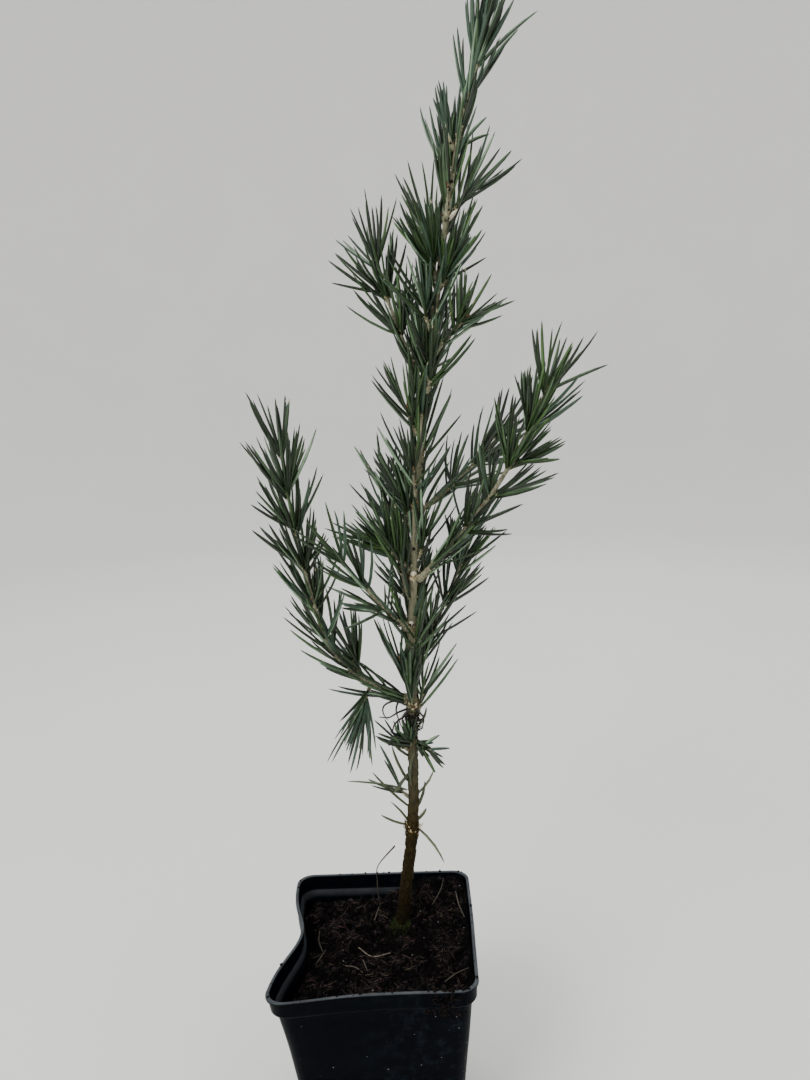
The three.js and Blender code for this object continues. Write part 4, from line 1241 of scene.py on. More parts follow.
def make_moss(settings, wall):
    """A tuft of moss at the trunk's foot"""
    chance = np.random.default_rng(303)
    heap = Heap()
    angles = chance.uniform(0, math.tau, MOSS_COUNT)
    away = MOSS_REACH * chance.random(MOSS_COUNT) ** 0.75
    x = MOSS_PLACE[0] + np.cos(angles) * away * 0.95
    y = MOSS_PLACE[1] + np.sin(angles) * away * 1.1
    roots = np.column_stack([x, y, lumpy_height(x, y, make_wall_ring(wall)) - 0.2])
    rise = chance.uniform(0.5, 2.4, MOSS_COUNT) + 2.6 * bell(y - TRUNK_LINE[0][1] + 1.5, 2.5)
    lean = circle(angles) * chance.uniform(0.2, 2.2, (MOSS_COUNT, 1))
    tips = roots + lean + UP * rise[:, None]
    for root, tip in zip(roots, tips):
        side = unit(np.array([*chance.uniform(-1, 1, 2), 0.0]))
        heap.add_leaf(root, tip, side, chance.uniform(0.1, 0.24), 0.1, int(chance.random() > 0.65))
    materials = [
        # Moss: a soft dark green
        mottled("cushion_moss", shades(settings.moss, 0.6, 1.4), 1, 0.8, gloss=0.3),
        # Its young leaves: lighter and yellower
        mottled("cushion_moss_tips", shades(settings.moss, 1.4, 2.6), 1, 0.8, gloss=0.3),
    ]
    finish_piece(heap.piece("moss_tuft", materials, smooth=False), "compost")


def make_pot_specks(settings):
    """Crumbs on the lip, a clump spilt over the front, and grit and short hairs dried on the outer wall"""
    chance = np.random.default_rng(404)
    heap = Heap()
    lip = pot_ring(LIP_WIDTH / 2, POT_HEIGHT)
    for place in lip[chance.integers(0, len(lip), LIP_CRUMBS)]:
        radius = lerp(0.2, 0.8, chance.random() ** 2)
        nudge = np.array([*chance.uniform(-0.4, 0.4, 2), radius * 0.5])
        heap.add(crumb(chance, radius) + place + nudge, CRUMB_FACES)
    front = lip[lip[:, 1] < -30]
    for _ in range(SPILL_COUNT):
        across = SPILL_X + chance.normal() * SPILL_REACH
        fall = chance.random() ** 1.6 * SPILL_FALL
        edge = np.array([across, np.interp(across, front[:, 0], front[:, 1]), POT_HEIGHT])
        place = edge + (0, lerp(1.2, -0.6, min(1, fall)), lerp(-fall, 0.4, fall < 1))
        heap.add(crumb(chance, chance.uniform(0.25, 0.9)) + place, CRUMB_FACES)
    for height in chance.uniform(12, BAND_FOOT - 4, WALL_SPECKS):
        wall = pot_ring(wall_inset(height), height)
        place = wall[chance.integers(0, len(wall))]
        speck = crumb(chance, lerp(0.08, 0.34, chance.random() ** 2)) * (1, 1, 0.8)
        heap.add(speck + place, CRUMB_FACES, slot=1)
    for height in chance.uniform(30, BAND_FOOT - 4, WALL_HAIRS):
        wall = pot_ring(wall_inset(height) - 0.1, height)
        index = chance.integers(4, len(wall) - 4)
        along = unit(wall[index + 1] - wall[index])
        angle = chance.uniform(0, math.tau)
        slanted = along * math.cos(angle) + UP * math.sin(angle)
        line = wall[index] + np.outer(np.linspace(-1, 1, 4) * chance.uniform(0.5, 1.5), slanted)
        heap.add_tube(line, chance.uniform(0.03, 0.055), 3, slot=1)
    materials = [
        # Peat dried on the rim: dull and dark
        mottled("lip_crumb", (shade(settings.peat, 0.8), shade(settings.fibre, 0.6)), 1, 0.95, gloss=0.05),
        # Dried splashes: small grey dots that stand out on the black
        mottled("dried_speck", ("#55585a", "#b4b6b3"), 1, 0.8),
    ]
    finish_piece(heap.piece("pot_specks", materials, smooth=False), "pot_plastic")


# Limbs


def directions(row, shares):
    """The directions of a shoot at these shares of its length"""
    shares = np.asarray(shares, float)
    azimuth = np.radians(row["azimuth"] + row["turn"] * shares)
    rise = np.radians(lerp(row["rise"][0], row["rise"][1], shares))
    return np.stack([np.cos(rise) * np.cos(azimuth), np.cos(rise) * np.sin(azimuth), np.sin(rise)], axis=-1)


def aimed(azimuth, rise):
    """The direction at this azimuth and this rise, in degrees"""
    return directions(dict(azimuth=azimuth, rise=(rise, rise), turn=0), 0)


def place_along(row, distance):
    """The place this far along a shoot whose direction turns evenly from its foot to its tip"""
    shares = (np.arange(WALK_STEPS) + 0.5) / WALK_STEPS * distance / row["length"]
    return row["start"] + directions(row, shares).sum(axis=0) * distance / WALK_STEPS


def foot_distance(row, limb_direction, limb_radius):
    """The distance along a shoot at which it comes out of the limb that it stands on"""
    angle = math.acos(float(np.dot(directions(row, 0), unit(limb_direction))))
    return (limb_radius + CLEAR + row["radius"] * abs(math.cos(angle))) / math.sin(angle)


class Tree:
    """The skeleton: every limb as a line with radii, and every foliage mass with the shoot it grows on"""

    def __init__(self):
        self.limbs = []
        self.masses = []

    def add_limb(self, row, start, end, radius, end_radius, sunk, node=None):
        """A limb whose first stretch lies inside the one that carries it, and the solid it stands for"""
        steps = max(4, int((end - start + sunk) / LIMB_STEP))
        distances = np.linspace(start - sunk, end, steps + 1)
        line = np.array([place_along(row, distance) for distance in distances])
        radii = np.interp(distances, [start, end], [radius, end_radius]) * VISUAL_GIRTH
        radii = radii * (1 + LIMB_FOOT_SWELL * bell(distances - start, LIMB_FOOT_REACH))
        self.limbs.append(dict(line=line, radii=radii, node=node))

    def add_mass(self, row, start, radius, sunk=DEEP_ROOT):
        """A foliage mass from this distance to its shoot's tip, with its stem"""
        self.add_limb(row, start, row["length"], radius, radius * STEM_TAPER, sunk)
        self.masses.append(dict(row=row, start=start, end=row["length"], seed=len(self.masses) + 1))

    def from_trunk(self, row):
        placed = dict(row, start=trunk_at(row["height"]))
        along = trunk_at(row["height"] + 7) - placed["start"]
        return placed, foot_distance(placed, along, float(trunk_radius(row["height"])))


def grow_tree():
    """Every limb and mass, in the same order as the solids, so that their random streams agree"""
    tree = Tree()
    for row in SHOOTS:
        placed, foot = tree.from_trunk(row)
        if row["bare"] == 0:
            tree.add_mass(placed, foot, row["radius"])
            continue
        narrow = row["radius"] * BOUGH_TAPER
        tree.add_limb(placed, foot, row["bare"], row["radius"], narrow, DEEP_ROOT, row["name"] + "_bough")
        tree.add_mass(placed, row["bare"] + CLEAR, narrow, TIP_ROOT)
    low, foot = tree.from_trunk(LOW_LEFT)
    tree.add_limb(low, foot, low["length"], low["radius"], LOW_LEFT_TOP["radius"], DEEP_ROOT, low["name"])
    top = dict(LOW_LEFT_TOP, start=place_along(low, low["length"] + 2 * CLEAR))
    tree.add_mass(top, 0, top["radius"], TIP_ROOT)
    for share, row in ON_LOW_LEFT:
        placed = dict(row, start=place_along(low, low["length"] * share))
        limb_radius = lerp(low["radius"], LOW_LEFT_TOP["radius"], share)
        tree.add_mass(placed, foot_distance(placed, directions(low, share), limb_radius), row["radius"])
    tip = dict(LEADER, start=np.array(TRUNK_LINE[-1], float) + directions(LEADER, 0) * 2 * CLEAR)
    tree.add_mass(tip, 0, tip["radius"], TIP_ROOT)
    small = list(SPRIGS)
    for count in range(TUFT_COUNT):
        height = lerp(TUFT_FROM, TUFT_TO, count / (TUFT_COUNT - 1))
        on_leader = int(height > LEADER_HEIGHT)
        azimuth = TUFT_START_ANGLE + count * GOLDEN_ANGLE
        scale = TUFT_SCALES.get(count, TUFT_LENGTHS[on_leader])
        small.append(shoot(
            f"tuft_{count + 1:02d}", height, azimuth, TUFT_RISE, TUFT_LENGTH, 0, TUFT_RADIUS,
            TUFT_NEEDLES, TUFT_SPREADS[on_leader], scale=scale))
    for row in small:
        placed, foot = tree.from_trunk(row)
        placed["length"] = foot + row["length"]
        tree.add_mass(placed, foot, row["radius"])
    return tree


TREE = grow_tree()


def old_bark_relief(depth):
    """Plates and cracks on the old wood, and shallow ridges on the young wood above it"""

    def relief(surface):
        flat = surface.reshape(-1, 3)
        cells = []
        for place in (flat / PLATE_SIZE).tolist():
            near = noise.voronoi(place)[0]
            cells.append(near[1] - near[0])
        cracks = smoothstep(np.array(cells), 0, CRACK_REACH).reshape(surface.shape[:-1])
        old = 1 - smoothstep(surface[..., 2], OLD_WOOD_TOP, YOUNG_WOOD_FOOT)
        ridges = noise_at(surface * (1, 1, 0.22), 0.9)
        fine = noise_at(surface * (1, 1, 0.5), 0.45)
        plates = depth * (cracks - 0.75) + 0.3 * depth * fine
        return old * plates + (1 - old) * 0.16 * ridges + 0.05 * fine

    return relief


def young_bark_relief(surface):
    """Ridges that run down a young twig below each needle"""
    return 0.11 * noise_at(surface * (1, 1, 0.5), 0.8) + 0.05 * noise_at(surface, 0.4)


def make_trunk(settings):
    heights = np.arange(GROUND, TRUNK_LINE[-1][2], TRUNK_STEP)
    line = trunk_at(heights)
    radii = trunk_radius(heights)
    buried = line[0] - unit(line[1] - line[0]) * BURIED
    heap = Heap()
    heap.add_tube(
        np.vstack([buried, line]), np.concatenate([radii[:1], radii]), TRUNK_SIDES,
        roughen=old_bark_relief(settings.relief / MM))
    finish_piece(heap.piece("trunk_bark", [fissured_bark(settings)]), "bark", "trunk")


def make_boughs(settings):
    heap = Heap()
    for limb in TREE.limbs:
        sides = BOUGH_SIDES if limb["node"] else TWIG_SIDES
        high = limb["line"][0][2] > PALE_BARK_FROM
        heap.add_tube(limb["line"], limb["radii"], sides, slot=int(high), roughen=young_bark_relief)
    # Young bark: smooth and buff with fine ridges, paler and greyer on the first year's wood
    barks = [
        mottled(name, shades(settings.young, low, high), 1.1, 0.8, bump=0.12, gloss=0.3, stretch=(1, 1, 0.5))
        for name, low, high in (("smooth_young_bark", 0.5, 1.7), ("pale_first_year_bark", 0.9, 2.4))]
    nodes = [limb["node"] for limb in TREE.limbs if limb["node"]]
    finish_piece(heap.piece("boughs_and_twigs", barks), "young_bark", *nodes)


def bud_points(centre, direction, length, radius):
    """A bud: an egg of rings along its direction, blunt at the foot and pointed at the tip"""
    shares = np.array([0.0, 0.18, 0.4, 0.62, 0.82, 1.0])
    line = centre + np.outer(shares * length, direction)
    return line, radius * np.array([0.45, 0.85, 1.0, 0.82, 0.48, 0.12])


def make_buds(settings):
    """Scaly buds at the tips of the shoots, and small dark ones along them"""
    draw = random_stream(505)
    heap = Heap()
    for mass in TREE.masses:
        row = mass["row"]
        if row["name"].startswith("sprig"):
            continue
        tip = place_along(row, mass["end"])
        line, radii = bud_points(tip, directions(row, 1), lerp(1.8, 2.8, draw()), lerp(0.6, 0.85, draw()))
        heap.add_tube(line, radii, 7)
    for limb in TREE.limbs:
        line = limb["line"]
        for _ in range(1 + int(len(line) / 34)):
            index = int(lerp(0.15, 0.95, draw()) * (len(line) - 2))
            along = unit(line[index + 1] - line[index])
            outward = sideways(along, draw() * math.tau)
            foot = line[index] + outward * limb["radii"][index] * 0.8
            length = lerp(0.9, 1.7, draw())
            bud, radii = bud_points(foot, unit(outward + along), length, lerp(0.4, 0.62, draw()))
            heap.add_tube(bud, radii, 6, slot=1 if draw() < 0.6 else 0)
    for height, angle, length in DORMANT_BUDS:
        outward = level(math.radians(angle))
        foot = trunk_at(height) + outward * trunk_radius(height) * 0.85
        bud, radii = bud_points(foot, unit(outward + UP), length, length * 0.36)
        heap.add_tube(bud, radii, 6, slot=1)
    for height, azimuth, rise, length, radius in STUBS:
        outward = aimed(azimuth, rise)
        foot = trunk_at(height) + outward * trunk_radius(height) * 0.5
        stub, radii = bud_points(foot, outward, length, radius)
        heap.add_tube(stub, radii, TWIG_SIDES, slot=2, roughen=young_bark_relief)
    materials = [
        # Resinous bud scales: brown, with a soft gloss
        mottled("resinous_bud", ("#4c3a26", "#86694a"), 0.6, 0.5, bump=0.1, gloss=0.3),
        # Dormant buds: nearly black dots
        mottled("dormant_bud", ("#050505", "#15120f"), 0.6, 0.45, bump=0.1, gloss=0.3),
        # Bare wood where a shoot has come away: nearly white
        mottled("bare_scar", ("#c4b99d", "#f2ecdd"), 1.2, 0.8, bump=0.1, gloss=0.3),
    ]
    finish_piece(heap.piece("buds", materials), "young_bark")


def make_bud_scales(settings):
    """Papery scales left in rings by each year's buds, at the whorls and at the collar"""
    draw = random_stream(606)
    heap = Heap()
    for middle, swell, reach in [COLLAR, *WHORLS]:
        for _ in range(int(24 + 50 * swell)):
            height = middle + lerp(-reach * 0.8, reach * 0.9, draw())
            outward = level(draw() * math.tau)
            root = trunk_at(height) + outward * (trunk_radius(height) - 0.15)
            length = lerp(0.9, 2.2, draw()) * (1 + swell)
            flare = lerp(0.15, 1.0, draw())
            tip = root + unit(outward * flare + UP * lerp(0.4, 1, draw())) * length
            side = np.cross(UP, outward)
            heap.add_leaf(root, tip, side, lerp(0.3, 0.65, draw()), 0.14, pick(SCALE_KINDS, draw()))
    lowest = WHORLS[0][0]
    for _ in range(DEAD_SCALES):
        height = lerp(lowest - 17, lowest - 3, draw() ** 0.7)
        outward = level(draw() * math.tau)
        root = trunk_at(height) + outward * (trunk_radius(height) - 0.2)
        leaning = unit(outward * lerp(0.4, 1.2, draw()) + UP * lerp(-0.8, 0.7, draw()))
        tip = root + leaning * lerp(1.4, 4, draw())
        side = np.cross(UP, outward) + UP * lerp(-0.4, 0.4, draw())
        heap.add_leaf(root, tip, side, lerp(0.3, 0.75, draw()), 0.2, 3)
    for limb in TREE.limbs:
        foot, following = limb["line"][2], limb["line"][3]
        along = unit(following - foot)
        for _ in range(LIMB_SCALES):
            outward = sideways(along, draw() * math.tau)
            root = foot + along * lerp(0, 2.2, draw()) + outward * limb["radii"][2] * 0.9
            tip = root + unit(outward * lerp(0.2, 0.9, draw()) + along) * lerp(0.7, 1.6, draw())
            side = np.cross(along, outward)
            heap.add_leaf(root, tip, side, lerp(0.25, 0.5, draw()), 0.12, int(draw() >= 0.6))
    materials = [
        # Papery scales: thin, dry and pale
        mottled("papery_scale", shades(settings.scale, 0.8, 1.5), 1, 0.75, gloss=0.35),
        # Scales of the year before: rusty brown
        mottled("rusty_scale", ("#6b5238", "#a3835c"), 1, 0.75, gloss=0.35),
        # Weathered scales: dull dark brown
        mottled("old_scale", ("#2c2119", "#5d4a38"), 1, 0.85, gloss=0.3),
        # Dead scales: nearly black
        mottled("dead_scale", ("#0a0908", "#2b241c"), 1, 0.8, gloss=0.2),
    ]
    finish_piece(heap.piece("bud_scales", materials, smooth=False), "young_bark")


# Needles


class Obstacles:
    """The limbs as straight pieces, and the gaps in front of bare bark, which a needle stays clear of"""

    def __init__(self):
        starts, ends, radii = [], [], []
        heights = np.arange(GROUND, TRUNK_LINE[-1][2], 6.0)
        lines = [(trunk_at(heights), trunk_radius(heights))]
        lines.extend((limb["line"][3::6], limb["radii"][3::6]) for limb in TREE.limbs if limb["node"])
        for line, radius in lines:
            starts.append(line[:-1])
            ends.append(line[1:])
            radii.append(radius[:-1])
        for height, half_width in BARK_GAPS:
            toward = unit(np.array(CAMERA_PLACE) - trunk_at(height))
            front = trunk_at(height) + toward * trunk_radius(height)
            starts.append(front[None])
            ends.append(front[None] + toward * NEEDLE_LONG)
            radii.append(np.array([half_width]))
        self.starts = np.vstack(starts)
        self.along = np.vstack(ends) - self.starts
        self.radii = np.concatenate(radii)
        self.squares = (self.along ** 2).sum(axis=1)

    def blocks(self, root, tip, clear_from=0.25, margin=0.3):
        """Whether the outer part of a needle comes within a limb's bark"""
        shares = np.linspace(clear_from, 1, 7)[:, None, None]
        places = root + (tip - root) * shares
        offsets = places - self.starts
        nearest = np.clip((offsets * self.along).sum(axis=2) / self.squares, 0, 1)
        distances = np.linalg.norm(offsets - nearest[..., None] * self.along, axis=2)
        return bool(np.any(distances < self.radii + margin))


class Needles:
    """Needles of one kind: root, tip, bow, width and roll of each"""

    def __init__(self):
        self.rows = []
        self.nodes = set()

    def add(self, root, tip, bow, width, roll=0.0, dry=False):
        self.rows.append((np.array(root), np.array(tip), np.array(bow), width, roll, dry))

    def piece(self, name, materials):
        """One mesh of smooth four-sided needles that taper to a point, with a paler side to each: a stomatal
        band that is also a painted highlight
        """
        stations = np.array([0, 0.05, 0.25, 0.55, 0.8, 0.93])
        profile = np.array([0.5, 0.85, 1.0, 0.96, 0.74, 0.44])
        roots, tips, bows, widths, rolls, dry = (np.array(column) for column in zip(*self.rows))
        along = unit(tips - roots)
        near = np.where(np.abs(along[:, 2:]) > 0.9, EAST, UP)
        across = unit(near - along * (near * along).sum(axis=1, keepdims=True))
        other = np.cross(along, across)
        shares = stations[None, :, None]
        middles = roots[:, None] + (tips - roots)[:, None] * shares
        middles = middles + bows[:, None] * 4 * shares * (1 - shares)
        angles = rolls[:, None] + np.arange(4) * math.pi / 2
        reach = np.array([0.5, 0.4, 0.5, 0.4])
        outward = (
            across[:, None] * (np.cos(angles) * reach)[..., None]
            + other[:, None] * (np.sin(angles) * reach)[..., None])
        scale = widths[:, None] * profile[None]
        rings = middles[:, :, None] + outward[:, None] * scale[..., None, None]
        count = len(stations) * 4
        block = np.concatenate([rings.reshape(len(roots), count, 3), tips[:, None]], axis=1)
        faces, slots = [], []
        for index in range(len(roots)):
            first = index * (count + 1)
            for ring in range(len(stations) - 1):
                low = first + ring * 4
                for side in range(4):
                    following = (side + 1) % 4
                    faces.append((low + side, low + following, low + 4 + following, low + 4 + side))
                    # The foot ring takes the straw finish, and one side the paler band: stomatal lines, and
                    # also a painted highlight
                    slots.append(2 if ring == 0 else 1 if side == 0 else 0)
            last = first + count - 4
            for side in range(4):
                faces.append((last + side, last + (side + 1) % 4, first + count))
                slots.append(2 if dry[index] else 0)
            faces.append((first + 3, first + 2, first + 1, first))
            slots.append(2)
        return add_piece(name, block.reshape(-1, 3), faces, materials, slots)


def gathered(distance, start, end):
    """A distance along a stem drawn towards the nearest node, where nodes are counted from the tip"""
    if end - start < NODE_SPACING - 1:
        return distance
    node = end - ROOT_MARGIN - round((end - distance) / NODE_SPACING) * NODE_SPACING
    return max(start + ROOT_MARGIN, lerp(distance, node, GATHERING))


def point_at(line, reach, distance):
    """The place this far along a line, whose points lie at these distances from its start"""
    return np.array([np.interp(distance, reach, line[:, axis]) for axis in range(3)])


class Foliage:
    """The plant's needles in three kinds: deep, fresh and glaucous"""

    def __init__(self, settings):
        self.kinds = [Needles(), Needles(), Needles()]
        self.deep = self.kinds[0]
        self.blocks = Obstacles().blocks
        self.per_spray = settings.per_spray
        self.bow = settings.bow
        self.width = settings.width / MM

    def pick_kind(self, shares, draw):
        return self.kinds[pick(np.cumsum(shares[:2]), draw())]

    def spread_spray(self, kind, draw, root, along, opening, around, length, lift=NEEDLE_LIFT, count=1):
        """Needles side by side, which leave the stem at one opening and one angle round it"""
        dry = draw() < DRY_SHARE
        for number in range(count):
            turn = math.radians((number - (count - 1) / 2) * SPRAY_TURN + lerp(-9, 9, draw()))
            open_angle = opening + math.radians(lerp(-SPRAY_OPENING, SPRAY_OPENING, draw()))
            aside = sideways(along, around + turn)
            direction = unit(along * math.cos(open_angle) + aside * math.sin(open_angle) + UP * lift)
            reach = length * lerp(SHORTEST_IN_SPRAY, 1, draw() ** 0.5)
            place = root + along * lerp(-SPRAY_ROOT_REACH, SPRAY_ROOT_REACH, draw())
            outward = unit(aside - direction * float(np.dot(aside, direction)))
            bow = outward * reach * self.bow * lerp(0.2, 1.4, draw())
            bow = bow + np.cross(direction, outward) * reach * lerp(-0.03, 0.03, draw())
            width = self.width * lerp(0.82, 1.1, draw())
            kind.add(place + direction * 0.3, place + direction * reach, bow, width, draw() * math.tau, dry)

    def grow_mass(self, mass):
        """Sprays by the solids' rule: one golden angle apart, wide at the stem's foot, closing at its tip"""
        row = mass["row"]
        main = random_stream(mass["seed"])
        draw = random_stream(1000 + mass["seed"])
        shares = TINT_SHARES.get(row["name"], USUAL_SHARES)
        scale = row.get("scale", 1)
        lift = row.get("lift", NEEDLE_LIFT)
        for count in range(row["needles"]):
            share = ((count + 0.5) / row["needles"]) ** NEEDLE_CROWDING
            distance = lerp(mass["start"] + ROOT_MARGIN, mass["end"] - ROOT_MARGIN, share)
            distance = gathered(distance, mass["start"], mass["end"])
            root = place_along(row, distance)
            along = directions(row, distance / row["length"])
            across = square_to(along)
            other = np.cross(along, across)
            wide = lerp(OPENING_FOOT, OPENING_TIP, share) * row["spread"]
            opening = math.radians(wide * lerp(OPENING_LEAST, 1, main() ** OPENING_CROWDING))
            length = lerp(NEEDLE_SHORT, NEEDLE_LONG, main()) * scale
            main()
            jitter = main() - 0.5
            for attempt in range(NEEDLE_TRIES):
                around = math.radians(count * GOLDEN_ANGLE + attempt * TURN_WHEN_BLOCKED) + jitter
                direction = unit(
                    along * math.cos(opening) + across * math.sin(opening) * math.cos(around)
                    + other * math.sin(opening) * math.sin(around) + UP * lift)
                if self.blocks(root, root + direction * length):
                    continue
                kind = self.pick_kind(shares, draw)
                kind.nodes.add(row["name"])
                single = row["name"].startswith(THIN_MASSES) or draw() < lerp(*SINGLE_SHARES, share)
                beside = row.get("beside", 1 if single else self.per_spray)
                self.spread_spray(kind, draw, root, along, opening, around, length, lift, beside)
                break

    def grow_reaching(self, mass):
        """The one needle of a shoot that reaches out past all the others"""
        azimuth, rise, length = mass["row"]["reaching"]
        root = place_along(mass["row"], mass["end"] - ROOT_MARGIN)
        self.deep.add(root, root + aimed(azimuth, rise) * length, UP * 0.6, self.width * 0.9)

    def grow_spurs(self, mass, spurs):
        """Short spurs at the nodes of a long stem, each with a rosette of shorter needles"""
        row = mass["row"]
        draw = random_stream(2000 + mass["seed"])
        shares = TINT_SHARES.get(row["name"], USUAL_SHARES)
        angle = draw() * math.tau
        for distance in np.arange(mass["end"] - NODE_SPACING, mass["start"] + 3, -NODE_SPACING):
            root = place_along(row, distance)
            along = directions(row, distance / row["length"])
            spur = unit(sideways(along, angle) * 0.75 + along)
            end = root + spur * SPUR_LENGTH
            spurs.add_tube([root, lerp(root, end, 0.5), end], SPUR_RADII, 6)
            kind = self.pick_kind(shares, draw)
            for number in range(SPUR_NEEDLES):
                opening = math.radians(lerp(*SPUR_OPENING, draw()))
                around = math.radians(number * GOLDEN_ANGLE)
                length = lerp(NEEDLE_SHORT, NEEDLE_LONG, draw()) * SPUR_SCALE * lerp(0.8, 1, draw())
                aside = sideways(spur, around)
                direction = unit(spur * math.cos(opening) + aside * math.sin(opening) + UP * NEEDLE_LIFT)
                if not self.blocks(end, end + direction * length):
                    kind.nodes.add(row["name"])
                    self.spread_spray(kind, draw, end, spur, opening, around, length)
            angle += math.radians(GOLDEN_ANGLE)

    def grow_along(self, line, radii, spacing, openings, draw):
        """Needles one by one along a limb, a golden angle apart and pressed towards its tip"""
        reach = np.concatenate([[0], np.cumsum(np.linalg.norm(np.diff(line, axis=0), axis=1))])
        distance = spacing
        around = draw() * math.tau
        while distance < reach[-1]:
            root = point_at(line, reach, distance)
            along = unit(point_at(line, reach, distance + 1) - point_at(line, reach, distance - 1))
            outward = sideways(along, around)
            foot = root + outward * float(np.interp(distance, reach, radii)) * 0.9
            opening = math.radians(lerp(*openings(distance / reach[-1]), draw()))
            length = lerp(NEEDLE_SHORT, NEEDLE_LONG, draw()) * lerp(0.72, 1, draw())
            tip = foot + (along * math.cos(opening) + outward * math.sin(opening)) * length
            if not self.blocks(foot, tip, 0.5, -0.3):
                shares = TINT_SHARES["leader_tip"] if root[2] > PALE_BARK_FROM else USUAL_SHARES
                kind = self.pick_kind(shares, draw)
                self.spread_spray(kind, draw, foot, along, opening, around, length, 0.05)
            distance += spacing * lerp(0.7, 1.3, draw())
            around += math.radians(GOLDEN_ANGLE)

    def grow_on_stems(self, draw):
        """Needles along the trunk, twice where long ones sheathe it, and along the boughs"""
        heights = np.arange(STEM_NEEDLES_FROM, TRUNK_LINE[-1][2], 2.0)

        def trunk_openings(share):
            near_tip = smoothstep(lerp(STEM_NEEDLES_FROM, TRUNK_LINE[-1][2], share), *LEADER_CLOSES)
            return [lerp(wide, narrow, near_tip) for wide, narrow in zip(STEM_OPENING, LEADER_OPENING)]

        self.grow_along(trunk_at(heights), trunk_radius(heights), STEM_SPACING, trunk_openings, draw)
        heights = heights[heights < SHEATH_TOP]
        self.grow_along(
            trunk_at(heights), trunk_radius(heights), SHEATH_SPACING, lambda share: SHEATH_OPENING, draw)
        for limb in TREE.limbs:
            if limb["node"]:
                self.grow_along(
                    limb["line"][3:], limb["radii"][3:], BOUGH_SPACING, lambda share: BOUGH_OPENING, draw)

    def grow_fans(self, draw):
        """The needles that reach past the leader, and the short fans on the lower trunk"""
        for kind, needle in OUTER_NEEDLES:
            self.kinds[kind].add(*needle, self.width * 0.9)
        for root, middle, spread, count, length in FANS:
            for number in range(count):
                angle = math.radians(middle + spread * (2 * (number + draw()) / count - 1))
                direction = unit(np.array([math.cos(angle), lerp(-0.7, 0.2, draw()), math.sin(angle)]))
                foot = np.array(root) + (0, 0, lerp(-2.5, 2.5, draw()))
                tip = foot + direction * length * lerp(0.7, 1, draw())
                self.deep.add(foot, tip, (0, -0.5, 0), self.width * 1.15, draw() * math.tau)


def make_needles(settings):
    """All needles in three kinds, each a piece of its own, with the short spurs that carry some"""
    foliage = Foliage(settings)
    spurs = Heap()
    for mass in TREE.masses:
        foliage.grow_mass(mass)
        if "reaching" in mass["row"]:
            foliage.grow_reaching(mass)
        if mass["end"] - mass["start"] > 2 * NODE_SPACING:
            foliage.grow_spurs(mass, spurs)
    draw = random_stream(3000)
    foliage.grow_on_stems(draw)
    foliage.grow_fans(draw)
    # The foot of a needle: a dry straw colour where it leaves the twig
    straw = mottled("needle_foot", ("#6f6b4e", "#aaa583"), 2, 0.6)
    # Each kind's third colour is its paler band of stomatal lines, which is also a painted highlight
    named = [
        ("needles_deep", settings.deep, "#3c5235"),
        ("needles_fresh", settings.fresh, "#3d582c"),
        ("needles_glaucous", settings.glaucous, "#6f866a"),
    ]
    for kind, (name, colour, band) in zip(foliage.kinds, named):
        wax = needle_material(name + "_wax", colour)
        materials = [wax, needle_material(name + "_band", linear(band), 0.2), straw]
        finish_piece(kind.piece(name, materials), "needles", *sorted(kind.nodes))
    # Spur wood: rough and brown
    bark = mottled("spur_bark", ("#4b402c", "#8a7c5b"), 1, 0.85, gloss=0.3)
    finish_piece(spurs.piece("spurs", [bark]), "young_bark")


def make_lone_needles(settings):
    """Single needles on the bare lower trunk, and the dead ones that curl under the lowest whorl"""
    needles = Needles()
    draw = random_stream(707)
    for root, tip, bow in LONE_NEEDLES:
        width = settings.width / MM * lerp(0.8, 0.95, draw())
        needles.add(root, tip, bow, width, draw() * math.tau)
    olive = [
        # Needles of former years: a dull olive green, with a paler band and a brown foot
        mottled("old_needle", ("#28331f", "#4a5232"), 6, 0.5),
        mottled("old_needle_band", ("#4d5b41", "#6b7458"), 6, 0.5),
        mottled("old_needle_foot", ("#4a4027", "#6d5c3a"), 2, 0.6),
    ]
    finish_piece(needles.piece("lone_needles", olive), "needles")
    heap = Heap()
    for places in CURLS:
        line = smooth_line(places, 8)
        shares = np.linspace(0, 1, len(line))
        heap.add_tube(line, CURL_RADIUS * (1 - 0.6 * shares), 5)
    # Dead needles: dry and nearly black
    dead = mottled("dead_needle", ("#0c0b09", "#2a231b"), 3, 0.7)
    finish_piece(heap.piece("dead_curls", [dead]), "needles")


# Stage


def make_floor(settings):
    """A wide pale floor that turns up evenly all round, so that no edge of it shows"""
    # Matt paper: it takes soft shadows and shows no pattern
    paper, add, place = new_material("studio_paper")
    grain = add("ShaderNodeTexNoise", {"Scale": per_metre(240), "Detail": 3.0}, {"Vector": place})
    one, other = shades(settings.floor, 0.97, 1.02)
    colour = add("ShaderNodeMix", {MIX_FIRST: one, MIX_SECOND: other}, {"Factor": grain}, data_type="RGBA")
    finish_material(add, {"Roughness": 0.9, "Specular IOR Level": 0.2}, {"Base Color": colour})
    profile = [(radius, 0) for radius in FLOOR_RINGS]
    profile.extend(
        (FLOOR_RADIUS + FLOOR_CURVE * math.sin(turn), FLOOR_CURVE * (1 - math.cos(turn)))
        for turn in np.linspace(0.1, math.pi / 2, 14))
    profile.append((FLOOR_RADIUS + FLOOR_CURVE, FLOOR_TOP))
    rings = [circle(even_angles(FLOOR_SIDES), radius, height) for radius, height in profile]
    open_top = len(rings) * FLOOR_SIDES + 1
    faces = [face for face in tube_faces(0, len(rings), FLOOR_SIDES) if open_top not in face]
    floor = add_piece("floor", np.vstack([*rings, [(0, 0, 0)], [(0, 0, 0)]]), faces, [paper])


